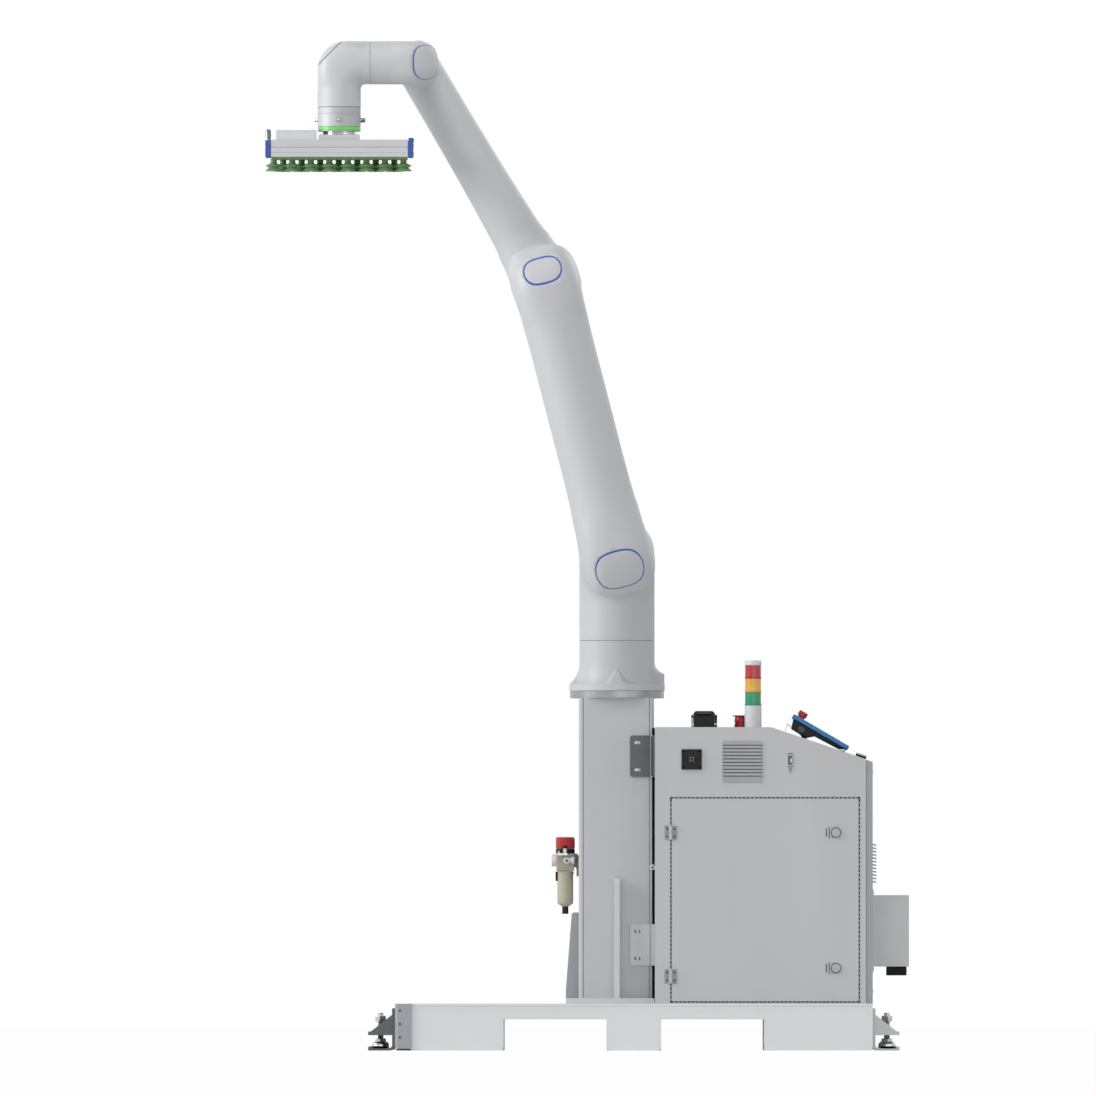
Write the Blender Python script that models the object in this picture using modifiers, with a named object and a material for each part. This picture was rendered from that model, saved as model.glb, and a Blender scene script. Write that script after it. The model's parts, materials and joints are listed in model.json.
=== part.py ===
"""A palletizing robot: jointed arm with a vacuum gripper, on a column with a control cabinet.

Metres, +Z up. The arm's first axis is the Z axis, and the floor is at Z = 0.
-Y is the side with the cabinet door, -X the side that the arm reaches to.
"""

import math

import bmesh
import bpy
from mathutils import Matrix, Vector

# Fits
GAP = 0.0003           # between pieces that touch
JOINT_GAP = 0.0008     # seam between two arm housings
RUN = 0.0005           # running clearance of turning pieces

# Base frame
BASE_CENTRE_X = 0.047
BASE_LENGTH = 1.334
BASE_WIDTH = 0.800
BASE_HEIGHT = 0.131
DECK = 0.009
SIDE_SHEET = 0.006
END_SHEET = 0.005
END_FLANGE = 0.047
FORK_WIDTH = 0.287
FORK_HEIGHT = 0.087
FORK_SPACING = 0.440
CORNER_RADIUS = 0.010
TUNNEL_WALL = 0.004

# Outriggers and levelling feet
OUTRIGGER_REACH = 0.075
OUTRIGGER_WIDTH = 0.090
OUTRIGGER_PLATE = 0.008
OUTRIGGER_TOP = 0.118
OUTRIGGER_SHELF = 0.043
OUTRIGGER_FOOT = 0.0055
OUTRIGGER_BEND = 0.014
OUTRIGGER_FROM_EDGE = 0.060
SCREW_OUT = 0.043
SCREW_RADIUS = 0.0055
SCREW_TOP = 0.1055
NUT_WIDTH = 0.024
NUT_HEIGHT = 0.016
NUT_TOP = 0.097
PAD_RADIUS = 0.0215
PAD_HEIGHT = 0.0135

# Column
COLUMN = 0.2075
COLUMN_WALL = 0.010
COLUMN_CORNER = 0.014
COLUMN_TOP = 0.9876
FOOT_PLATE = (0.2460, 0.3000, 0.0150)
COLUMN_FLANGE_RADIUS = 0.132
COLUMN_FLANGE = 0.0200
CABLE_HOLE = 0.045
RIB = 0.016
RIB_HEIGHT = 0.350
RIB_DEPTH = 0.040

# Cabinet
CABINET_LEFT = 0.1060
CABINET_LENGTH = 0.5902
CABINET_BACK = 0.0188
CABINET_WIDTH = 0.600
CABINET_TOP = 0.904
CABINET_SLOPE_START = 0.4310
CABINET_BACK_TOP = 0.8146
CABINET_SHEET = 0.003
DOOR_LOW = 0.0065
DOOR_LEFT = 0.1527
DOOR_WIDTH = 0.5229
DOOR_HEIGHT = 0.5670
DOOR_SHEET = 0.0025
DOOR_RETURN = 0.018
DOOR_SEAM = 0.0030
HINGE_HEIGHT = 0.0390
HINGE_LEAF = 0.0150
HINGE_SHEET = 0.0025
HINGE_RADIUS = 0.0042
HINGE_PIN = 0.0018
HINGE_LEVELS = (0.0760, 0.4776)
LOCK_LEVELS = (0.0994, 0.4780)
LOCK_FROM_EDGE = 0.0633
LOCK_RADIUS = 0.0140
LOCK_CORE = 0.0080

# Cabinet brackets on the column
BRACKET_SHEET = 0.0040
BRACKET_HEIGHT = 0.1160
BRACKET_LAP = 0.0560
BRACKET_LEVELS = (0.2370, 0.7640)

# Fittings on the cabinet
GRILLE = (0.112, 0.116, 0.0025)
GRILLE_CENTRE = (0.3510, 0.8070)
GRILLE_SLOTS = 10
GRILLE_PITCH = 0.0096
GRILLE_SLOT = 0.0040
LOUVRE = (0.110, 0.111, 0.0100)
LOUVRE_LEVEL = 0.522
LOUVRE_TEETH = 11
PORT_SIZE = 0.0566
PORT_DEPTH = 0.0060
PORT_CENTRE = (0.2089, 0.8136)
LATCH_SIZE = (0.0150, 0.0560, 0.0060)
LATCH_CENTRE = (0.4853, 0.8030)
JUNCTION = (0.1000, 0.2600, 0.2000)
JUNCTION_LEVEL = 0.3350
JUNCTION_PLATE = (0.0030, 0.3000, 0.2340)
PLUG = (0.0570, 0.0600, 0.0250)
CONNECTOR = (0.0710, 0.0900, 0.0400)
CONNECTOR_X = 0.2425
STOP_X = 0.3494
STOP_HEAD = 0.0260
STOP_BODY = 0.0207
STOP_HEIGHT = 0.0315
STOP_TRAVEL = 0.0040
LIGHT_X = 0.3810
LIGHT_RADIUS = 0.0235
LIGHT_BASE = 0.0610
LIGHT_LENS = 0.0375
LIGHT_CAP = 0.0134
LIGHT_PIN = 0.0080

# Pendant on the cabinet's slope
PENDANT = (0.1800, 0.2600, 0.0125)
PENDANT_X = 0.5734
PENDANT_LEVEL = 0.8968
PENDANT_BODY = 0.0260
PENDANT_LIFT = 0.0800
PENDANT_TILT = math.radians(30.3)
PENDANT_STOP = 0.0130
PENDANT_STOP_TRAVEL = 0.0035
PENDANT_STEM = 0.0060
SWITCH_RADIUS = 0.0140

# Air unit on the column
AIR_X = -0.1450
AIR_BODY = 0.0500
AIR_LEVEL = 0.5020
AIR_BODY_HEIGHT = 0.0510
AIR_KNOB = 0.0270
AIR_KNOB_HEIGHT = 0.0330
AIR_BOWL = 0.0222
AIR_BOWL_HEIGHT = 0.0990
AIR_BRACKET = 0.0040
GAUGE_RADIUS = 0.0170
GAUGE_DEPTH = 0.0130

# Arm: places of the axes, as the arm stands at rest
FLANGE_LEVEL = 1.0070
SEAM_1 = 1.1490
AXIS_2 = 1.3760
UPPER_LENGTH = 0.8040
UPPER_LEAN = math.radians(14.5)
FORE_LENGTH = 0.7100
FORE_LEAN = math.radians(30.6)
WRIST_LENGTH = 0.2150
SEAM_5 = 0.1280
SEAM_6 = 0.1246
SEAM_2_Y = -0.1300
UPPER_Y = -0.2650
SEAM_3_Y = -0.1400
FORE_Y = -0.0380
SEAM_4_Y = -0.1130
WRIST_Y = -0.1880

# Arm: sizes of the housings
SHOULDER_RADIUS = 0.1055
UPPER_RADIUS = 0.0895
ELBOW_RADIUS = 0.0980
FORE_RADIUS_LOW = 0.0690
FORE_RADIUS_HIGH = 0.0615
WRIST_RADIUS = 0.0605
FILLET = 0.0200
WRIST_FILLET = 0.0115
OUTER_CORNER = 1.34
BASE_FLANGE_RADIUS = 0.1340
BASE_FLANGE = 0.0180
BASE_RIBS = 6
RING_SIDES = 24
CORNER_STEPS = 8

# Corner caps: tilt of the rim's plane from the front, and its distance from the corner's centre
SHOULDER_CAP = (math.radians(30.3), 0.0702)
ELBOW_CAP = (math.radians(27.4), 0.0734)
FORE_CAP = (math.radians(30.0), 0.0600)
WRIST_CAP = (math.radians(45.0), 0.0356)
TRIM_WIDTH = 0.0030

# Tool end
TOOL_RADIUS = 0.0600
TOOL_HEIGHT = 0.0680
LIGHT_RING = 0.0096
LIGHT_RING_UP = 0.0033
TOOL_FLANGE_RADIUS = 0.0456
TOOL_FLANGE = 0.0105
TOOL_BUTTON = 0.0062
TOOL_BUTTON_TRAVEL = 0.0012
TOOL_BUTTON_UP = 0.0314

# Gripper
ADAPTER = (0.1156, 0.1100, 0.0137)
BAR = (0.3850, 0.1200, 0.0490)
BAR_GROOVE = 0.0030
END_CAP = 0.0160
END_CAP_LIP = 0.0064
CUP_COUNTS = (8, 7)
CUP_PITCH = 0.0519
CUP_ROW = 0.0280
CUP_RADIUS = 0.0240
CUP_NECK = 0.0085
CUP_HEIGHT = 0.0330
CUP_PLATE = 0.0056
VALVE_BOX = (0.1125, 0.0900, 0.0270)
VALVE_X = -0.0642
FITTING_RADIUS = 0.0077
FITTING_HEIGHT = 0.0300

COLOURS = {
    "arm_grey": ((0.60, 0.61, 0.62), 0.42, 0.0),
    "trim_blue": ((0.03, 0.11, 0.42), 0.40, 0.0),
    "frame_grey": ((0.62, 0.63, 0.64), 0.45, 0.1),
    "plate_grey": ((0.33, 0.34, 0.36), 0.45, 0.3),
    "cabinet_steel": ((0.46, 0.47, 0.48), 0.38, 0.8),
    "dark_steel": ((0.10, 0.10, 0.11), 0.40, 0.7),
    "bright_metal": ((0.70, 0.70, 0.72), 0.22, 1.0),
    "black_plastic": ((0.015, 0.015, 0.016), 0.45, 0.0),
    "signal_red": ((0.42, 0.02, 0.02), 0.35, 0.0),
    "lens_red": ((0.42, 0.02, 0.02), 0.15, 0.0),
    "lens_amber": ((0.60, 0.22, 0.04), 0.15, 0.0),
    "lens_green": ((0.02, 0.28, 0.14), 0.15, 0.0),
    "light_plastic": ((0.55, 0.55, 0.56), 0.40, 0.0),
    "pendant_blue": ((0.04, 0.20, 0.50), 0.40, 0.0),
    "air_beige": ((0.36, 0.33, 0.24), 0.50, 0.0),
    "gauge_white": ((0.80, 0.80, 0.80), 0.30, 0.0),
    "ring_green": ((0.10, 0.60, 0.10), 0.30, 0.0),
    "cup_green": ((0.10, 0.24, 0.06), 0.55, 0.0),
    "bar_aluminium": ((0.62, 0.63, 0.64), 0.35, 0.9),
    "cap_blue": ((0.04, 0.12, 0.40), 0.40, 0.0),
    "drive_steel": ((0.35, 0.35, 0.36), 0.30, 1.0),
}

UP = Vector((0, 0, 1))
SCENE = {}


def start():
    """Empty the scene, and make the collections for the parts and the cutters."""
    for obj in list(bpy.data.objects):
        bpy.data.objects.remove(obj, do_unlink=True)
    for name in ("palletizing_robot", "cutters"):
        group = bpy.data.collections.new(name)
        bpy.context.scene.collection.children.link(group)
        SCENE[name] = group
    SCENE["centre"] = bpy.data.objects.new("centre", None)
    SCENE["palletizing_robot"].objects.link(SCENE["centre"])


def colour(name):
    """The Principled material of a named colour."""
    if name in bpy.data.materials:
        return bpy.data.materials[name]
    rgb, rough, metal = COLOURS[name]
    mat = bpy.data.materials.new(name)
    mat.use_nodes = True
    shader = mat.node_tree.nodes["Principled BSDF"]
    shader.inputs["Base Color"].default_value = (*rgb, 1)
    shader.inputs["Roughness"].default_value = rough
    shader.inputs["Metallic"].default_value = metal
    mat.diffuse_color = (*rgb, 1)
    return mat


def place(name, mesh, finish, at=(0, 0, 0)):
    """An object for a mesh: a part with a finish, or a cutter without one."""
    obj = bpy.data.objects.new(name, mesh)
    obj.location = at
    if finish:
        mesh.materials.clear()
        mesh.materials.append(colour(finish))
        SCENE["palletizing_robot"].objects.link(obj)
    else:
        obj.hide_render = True
        obj.display_type = "WIRE"
        SCENE["cutters"].objects.link(obj)
    return obj


def mesh_of(bm, name, smooth=True):
    """A mesh from a bmesh, with its flat faces kept sharp."""
    bmesh.ops.recalc_face_normals(bm, faces=bm.faces)
    mesh = bpy.data.meshes.new(name)
    bm.to_mesh(mesh)
    bm.free()
    if smooth:
        mesh.shade_smooth()
        mesh.set_sharp_from_angle(angle=math.radians(35))
    return mesh


def box(name, low, high, finish=None, bevel=0.0, turn=None):
    """A box between two corners, its origin at its middle."""
    low, high = Vector(low), Vector(high)
    bm = bmesh.new()
    bmesh.ops.create_cube(bm, size=1)
    bmesh.ops.scale(bm, vec=high - low, verts=bm.verts)
    obj = place(name, mesh_of(bm, name, False), finish, (low + high) / 2)
    if turn is not None:
        obj.rotation_euler = turn
    if bevel:
        mod = obj.modifiers.new("edges", "BEVEL")
        mod.width = bevel
        mod.segments = 2
    return obj


def rod(name, radius, start_at, end_at, finish=None, sides=24, radius_end=None):
    """A cylinder or cone between two points, its origin at the first."""
    start_at, end_at = Vector(start_at), Vector(end_at)
    along = end_at - start_at
    bm = bmesh.new()
    bmesh.ops.create_cone(
        bm, cap_ends=True, segments=sides, radius1=radius,
        radius2=radius if radius_end is None else radius_end, depth=along.length,
        matrix=Matrix.Translation((0, 0, along.length / 2)),
    )
    obj = place(name, mesh_of(bm, name), finish, start_at)
    obj.rotation_mode = "QUATERNION"
    obj.rotation_quaternion = UP.rotation_difference(along)
    return obj


def turned(name, profile, at, along, finish=None, sides=24):
    """A turned shape: radius and height pairs, from the top down, along an axis."""
    mesh = bpy.data.meshes.new(name)
    closed = profile[0] == profile[-1]
    points = [(r, 0, z) for r, z in (profile[:-1] if closed else profile)]
    edges = [(i, (i + 1) % len(points)) for i in range(len(points) if closed else len(points) - 1)]
    mesh.from_pydata(points, edges, [])
    obj = place(name, mesh, finish, at)
    obj.rotation_mode = "QUATERNION"
    obj.rotation_quaternion = UP.rotation_difference(Vector(along))
    mod = obj.modifiers.new("turn", "SCREW")
    mod.steps = sides
    mod.render_steps = sides
    mod.use_merge_vertices = True
    mod.merge_threshold = 0.00005
    mod.use_smooth_shade = True
    return obj


def prism(name, loops, low, high, finish=None, plane="XZ"):
    """A flat outline, with any holes, given in a plane and pushed along its normal."""
    curve = bpy.data.curves.new(name, "CURVE")
    curve.dimensions = "2D"
    curve.fill_mode = "BOTH"
    curve.extrude = (high - low) / 2
    for loop in loops:
        spline = curve.splines.new("POLY")
        spline.points.add(len(loop) - 1)
        for point, (a, b) in zip(spline.points, loop):
            point.co = (a, b, 0, 1)
        spline.use_cyclic_u = True
    flat = bpy.data.objects.new(name, curve)
    bpy.context.scene.collection.objects.link(flat)
    shape = bpy.data.meshes.new_from_object(flat.evaluated_get(bpy.context.evaluated_depsgraph_get()))
    bpy.data.objects.remove(flat, do_unlink=True)
    bm = bmesh.new()
    bm.from_mesh(shape)
    bmesh.ops.remove_doubles(bm, verts=bm.verts, dist=0.00001)
    middle = (low + high) / 2
    # the outline's own X, Y and thickness, laid into the world's axes
    turns = {
        "XZ": Matrix(((1, 0, 0, 0), (0, 0, -1, middle), (0, 1, 0, 0), (0, 0, 0, 1))),
        "XY": Matrix.Translation((0, 0, middle)),
        "YZ": Matrix(((0, 0, 1, middle), (1, 0, 0, 0), (0, 1, 0, 0), (0, 0, 0, 1))),
    }
    bmesh.ops.transform(bm, matrix=turns[plane], verts=bm.verts)
    return place(name, mesh_of(bm, name), finish)


def boolean(obj, tool, how):
    """A Boolean on an object, with the tool kept as a cutter."""
    mod = obj.modifiers.new(tool.name, "BOOLEAN")
    mod.operation = how
    mod.object = tool
    mod.solver = "EXACT"
    if tool.name not in SCENE["cutters"].objects:
        SCENE["palletizing_robot"].objects.unlink(tool)
        SCENE["cutters"].objects.link(tool)
    tool.hide_render = True
    tool.display_type = "WIRE"
    return obj


def cut(obj, *tools):
    for tool in tools:
        boolean(obj, tool, "DIFFERENCE")
    return obj


def join(obj, *tools):
    for tool in tools:
        boolean(obj, tool, "UNION")
    return obj


def keep(obj, tool):
    return boolean(obj, tool, "INTERSECT")


def mirrored(obj):
    """The same piece again on the far side, about the plane Y = 0."""
    mod = obj.modifiers.new("far_side", "MIRROR")
    mod.use_axis = (False, True, False)
    mod.mirror_object = SCENE["centre"]
    mod.merge_threshold = 0.00005
    return obj


def axis(name, at, parent=None):
    """An empty on a joint's axis."""
    empty = bpy.data.objects.new(name, None)
    empty.empty_display_size = 0.05
    SCENE["palletizing_robot"].objects.link(empty)
    empty.location = at
    if parent:
        hang(empty, parent)
    return empty


def hang(obj, parent):
    """Parent an object without moving it."""
    bpy.context.view_layer.update()
    obj.parent = parent
    obj.matrix_parent_inverse = parent.matrix_world.inverted()
    return obj


def arc(centre, radius, start_deg, end_deg, steps=4):
    """Points of an arc."""
    points = []
    for i in range(steps + 1):
        a = math.radians(start_deg + (end_deg - start_deg) * i / steps)
        points.append((centre[0] + radius * math.cos(a), centre[1] + radius * math.sin(a)))
    return points


def rounded_box(half_a, half_b, radius, centre=(0, 0), steps=4):
    """The outline of a rectangle with round corners."""
    points = []
    for k, (sa, sb) in enumerate(((1, 1), (-1, 1), (-1, -1), (1, -1))):
        corner = (centre[0] + sa * (half_a - radius), centre[1] + sb * (half_b - radius))
        points += arc(corner, radius, 90 * k, 90 * k + 90, steps)
    return points


BASE_LEFT = BASE_CENTRE_X - BASE_LENGTH / 2
BASE_RIGHT = BASE_CENTRE_X + BASE_LENGTH / 2
DECK_UNDER = BASE_HEIGHT - DECK
FORKS = [BASE_CENTRE_X - FORK_SPACING / 2, BASE_CENTRE_X + FORK_SPACING / 2]


def side_panels():
    """Two side sheets with the fork pockets cut from below, feet with round corners."""
    low = BASE_LEFT + END_SHEET + GAP
    outline = [(low, 0)]
    for middle in FORKS:
        left, right = middle - FORK_WIDTH / 2, middle + FORK_WIDTH / 2
        outline += arc((left - CORNER_RADIUS, CORNER_RADIUS), CORNER_RADIUS, -90, 0)
        outline += [(left, FORK_HEIGHT), (right, FORK_HEIGHT)]
        outline += arc((right + CORNER_RADIUS, CORNER_RADIUS), CORNER_RADIUS, 180, 270)
    outline += arc((BASE_RIGHT - CORNER_RADIUS, CORNER_RADIUS), CORNER_RADIUS, -90, 0)
    outline += [(BASE_RIGHT, DECK_UNDER + 0.002), (low, DECK_UNDER + 0.002)]
    near = -BASE_WIDTH / 2
    return mirrored(prism("side_panels", [outline], near, near + SIDE_SHEET))


def end_panels():
    """The front end panel wraps round the sides."""
    outer = BASE_WIDTH / 2 + GAP + END_SHEET
    inner = BASE_WIDTH / 2 + GAP
    left = BASE_LEFT
    outline = [
        (left + END_FLANGE, -outer), (left + END_FLANGE, -inner), (left + END_SHEET, -inner),
        (left + END_SHEET, inner), (left + END_FLANGE, inner), (left + END_FLANGE, outer),
    ]
    outline += arc((left + 2 * END_SHEET, outer - 2 * END_SHEET), 2 * END_SHEET, 90, 180, 4)
    outline += arc((left + 2 * END_SHEET, -outer + 2 * END_SHEET), 2 * END_SHEET, 180, 270, 4)
    panel = prism("front_end_panel", [outline], 0.0055, BASE_HEIGHT - 0.0005, "plate_grey", "XY")
    return join(panel, outrigger("front_outriggers", -1))


def fork_tunnels():
    """Two tunnels that take the forks, tied by the plate between them that rests on the floor."""
    half = BASE_WIDTH / 2 - SIDE_SHEET - GAP
    wall = TUNNEL_WALL
    top = FORK_HEIGHT + wall
    (a, b), (c, d) = [(m - FORK_WIDTH / 2, m + FORK_WIDTH / 2) for m in FORKS]
    outline = [
        (a - wall, 0), (a, 0), (a, FORK_HEIGHT), (b, FORK_HEIGHT), (b, 0), (c, 0),
        (c, FORK_HEIGHT), (d, FORK_HEIGHT), (d, 0), (d + wall, 0), (d + wall, top),
        (c - wall, top), (c - wall, wall), (b + wall, wall), (b + wall, top), (a - wall, top),
    ]
    return prism("fork_tunnels", [outline], -half, half, "frame_grey")


def outrigger(name, side):
    """A bent bracket with a foot, a shelf for the levelling screw and two gussets."""
    edge = BASE_RIGHT if side > 0 else BASE_LEFT
    middle = BASE_WIDTH / 2 - OUTRIGGER_FROM_EDGE
    low, high = -middle - OUTRIGGER_WIDTH / 2, -middle + OUTRIGGER_WIDTH / 2
    plate, foot, reach, shelf = OUTRIGGER_PLATE, OUTRIGGER_FOOT, OUTRIGGER_REACH, OUTRIGGER_SHELF
    outline = arc((OUTRIGGER_BEND, OUTRIGGER_BEND), OUTRIGGER_BEND, 180, 270)
    outline += [(reach, 0), (reach, 2 * foot), (reach - 0.005, 2 * foot), (reach - 0.005, foot),
                (OUTRIGGER_BEND + 0.004, foot)]
    outline += arc((OUTRIGGER_BEND, OUTRIGGER_BEND), OUTRIGGER_BEND - plate, 270, 184, 2)
    outline += [(plate, shelf), (reach, shelf), (reach, shelf + 0.010), (plate, shelf + 0.010)]
    outline += [(plate, OUTRIGGER_TOP), (-0.001, OUTRIGGER_TOP), (-0.001, OUTRIGGER_BEND + 0.002)]

    def laid(points):
        return [(edge + side * x, z) for x, z in (points if side > 0 else points[::-1])]

    piece = prism(name, [laid(outline)], low, high)
    slant = [(plate - 0.001, shelf + 0.009), (reach - 0.006, shelf + 0.009), (plate - 0.001, 0.101)]
    for at in (low + 0.0005, high - 0.0065):
        join(piece, prism(name + "_gusset", [laid(slant)], at, at + 0.006))
    hole_at = (edge + side * SCREW_OUT, -middle)
    cut(piece, rod(name + "_hole", SCREW_RADIUS + RUN, (*hole_at, shelf - 0.01), (*hole_at, shelf + 0.02),
                   sides=16))
    return mirrored(piece)


def levelling_feet():
    """A screw with two nuts, standing on a round pad, at each outrigger."""
    middle = BASE_WIDTH / 2 - OUTRIGGER_FROM_EDGE
    pad_top = OUTRIGGER_FOOT + GAP + PAD_HEIGHT
    across = NUT_WIDTH / math.sqrt(3)
    for side, place_name in ((-1, "front"), (1, "rear")):
        x = (BASE_RIGHT if side > 0 else BASE_LEFT) + side * SCREW_OUT
        for y, which in ((-middle, "near"), (middle, "far")):
            foot = turned("levelling_foot_%s_%s" % (place_name, which), [
                (0, PAD_HEIGHT), (0.62 * PAD_RADIUS, PAD_HEIGHT), (PAD_RADIUS, 0.8 * PAD_HEIGHT),
                (PAD_RADIUS, 0.15 * PAD_HEIGHT), (0.9 * PAD_RADIUS, 0), (0, 0),
            ], (x, y, OUTRIGGER_FOOT + GAP), UP, "bright_metal", 16)
            join(foot, rod("screw", SCREW_RADIUS, (x, y, pad_top - 0.002), (x, y, SCREW_TOP), sides=12))
            shelf = OUTRIGGER_SHELF + 0.010 + GAP
            for low, top in ((shelf, shelf + NUT_HEIGHT), (pad_top + 0.004, OUTRIGGER_SHELF - GAP)):
                join(foot, rod("nut", across, (x, y, low), (x, y, top), sides=6))


def base_frame():
    end_panels()
    left = BASE_LEFT + END_SHEET + GAP
    deck = box("base_shell", (left, -BASE_WIDTH / 2, DECK_UNDER), (BASE_RIGHT, BASE_WIDTH / 2, BASE_HEIGHT),
               "frame_grey")
    half = BASE_WIDTH / 2 - SIDE_SHEET - GAP
    join(deck, box("deck_fold", (BASE_RIGHT - END_SHEET, -half, 0.002), (BASE_RIGHT, half, DECK_UNDER + 0.002)))
    join(deck, side_panels(), outrigger("rear_outriggers", 1))
    fork_tunnels()
    levelling_feet()


def column():
    """The welded column: square tube, foot plate, ribs and a round flange on top."""
    half = COLUMN / 2
    foot = BASE_HEIGHT + GAP
    plate_top = foot + FOOT_PLATE[2]
    outer = rounded_box(half, half, COLUMN_CORNER)
    inner = rounded_box(half - COLUMN_WALL, half - COLUMN_WALL, COLUMN_CORNER - COLUMN_WALL)
    tube = prism("column", [outer, inner], plate_top - 0.002, COLUMN_TOP + 0.002, "frame_grey", "XY")
    plate_right = half - 0.001
    join(tube, box("column_foot", (plate_right - FOOT_PLATE[0], -FOOT_PLATE[1] / 2, foot),
                   (plate_right, FOOT_PLATE[1] / 2, plate_top)))
    top = COLUMN_TOP + COLUMN_FLANGE
    join(tube, rod("column_flange", COLUMN_FLANGE_RADIUS, (0, 0, COLUMN_TOP), (0, 0, top), sides=40))
    low = plate_top - 0.001

    def rib(height):
        return [(half - 0.002, low), (half + RIB_DEPTH, low), (half + RIB_DEPTH * 0.5, low + height - 0.012),
                (half + RIB_DEPTH * 0.3, low + height), (half - 0.002, low + height)]

    left = [(-x, z) for x, z in rib(0.241)][::-1]
    join(tube, prism("rib_left", [left], -RIB / 2, RIB / 2))
    join(tube, prism("rib_back", [rib(RIB_HEIGHT - 0.015)], -RIB / 2, RIB / 2, plane="YZ"))
    front = [(-y, z) for y, z in rib(RIB_HEIGHT - 0.015)][::-1]
    join(tube, prism("rib_front", [front], -RIB / 2, RIB / 2, plane="YZ"))
    cut(tube, rod("cable_hole", CABLE_HOLE, (0, 0, COLUMN_TOP - 0.01), (0, 0, top + 0.01), sides=24))
    join(tube, *cabinet_brackets())


def cabinet_brackets():
    """Bent plates that tie the cabinet's side to the column's front and back faces."""
    half = COLUMN / 2
    pieces = []
    for level in BRACKET_LEVELS:
        low = BASE_HEIGHT + level - BRACKET_HEIGHT / 2
        inner, outer = half - 0.001, half + BRACKET_SHEET
        end = CABINET_LEFT - GAP
        leg = half + 0.055
        outline = [
            (half - BRACKET_LAP, -outer), (end - BRACKET_SHEET + 0.0025, -outer),
            (end - BRACKET_SHEET + 0.0025, -leg), (end, -leg), (end, -inner),
            (half - BRACKET_LAP, -inner),
        ]
        piece = prism("bracket", [outline], low, low + BRACKET_HEIGHT, None, "XY")
        pieces.append(mirrored(piece))
    return pieces


CABINET_RIGHT = CABINET_LEFT + CABINET_LENGTH
CABINET_FLOOR = BASE_HEIGHT + GAP
SLOPE = (CABINET_TOP - CABINET_BACK_TOP) / (CABINET_RIGHT - CABINET_SLOPE_START)
CABINET_FACE = -CABINET_WIDTH / 2
DOOR_LOW_Z = BASE_HEIGHT + DOOR_LOW
DOOR_RIGHT = DOOR_LEFT + DOOR_WIDTH
DOOR_AXIS = (DOOR_LEFT - DOOR_SEAM * 0.75, CABINET_FACE - HINGE_RADIUS - GAP)
LOCK_X = DOOR_RIGHT - LOCK_FROM_EDGE


def cabinet_outline(inset, right, low):
    """The cabinet's side view, level at the column and sloping down to the back."""
    drop = inset * math.sqrt(1 + SLOPE * SLOPE)
    top = CABINET_TOP - inset
    bend = CABINET_SLOPE_START - (drop - inset) / SLOPE
    back = CABINET_TOP - drop - SLOPE * (right - CABINET_SLOPE_START)
    return [(CABINET_LEFT + inset, low), (right, low), (right, back), (bend, top), (CABINET_LEFT + inset, top)]


def cabinet_shell():
    """Folded sheet box, open at the back, with a framed door opening and a vent opening."""
    half = CABINET_WIDTH / 2
    t = CABINET_SHEET
    shell = prism("cabinet_shell", [cabinet_outline(0, CABINET_RIGHT, CABINET_FLOOR)], -half, half,
                  "cabinet_steel")
    cut(shell, prism("cabinet_room", [cabinet_outline(t, CABINET_RIGHT + 0.02, CABINET_FLOOR + t)],
                     -half + t, half - t))
    left, right = DOOR_LEFT - DOOR_SEAM, DOOR_RIGHT + DOOR_SEAM
    low, high = DOOR_LOW_Z - DOOR_SEAM + 0.0003, DOOR_LOW_Z + DOOR_HEIGHT + DOOR_SEAM
    lip = DOOR_SHEET
    frame = box("door_frame", (left - lip, -half + 0.001, low - 0.002),
                (right + lip, -half + DOOR_RETURN + 0.002, high + lip))
    join(shell, frame)
    cut(shell, box("door_opening", (left, -half - 0.01, low), (right, -half + 0.05, high)))
    gx, gz = GRILLE_CENTRE
    hole = (GRILLE[0] / 2 - 0.008, GRILLE[1] / 2 - 0.008)
    cut(shell, box("vent_opening", (gx - hole[0], -half - 0.01, gz - hole[1]),
                   (gx + hole[0], -half + 0.01, gz + hole[1])))
    return shell


def cabinet_back():
    """A shallow tray that closes the back."""
    half = CABINET_WIDTH / 2 - 0.006
    low = CABINET_FLOOR
    left, right = CABINET_RIGHT + GAP, CABINET_RIGHT + CABINET_BACK
    top = [CABINET_TOP - SLOPE * (x - CABINET_SLOPE_START) - 0.0015 for x in (left, right)]
    tray = prism("cabinet_back", [[(left, low), (right, low), (right, top[1]), (left, top[0])]],
                 -half, half, "plate_grey")
    t = CABINET_SHEET
    cut(tray, box("tray_room", (left - 0.01, -half + t, low + t), (right - t, half - t, top[1] - t)))


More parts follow.
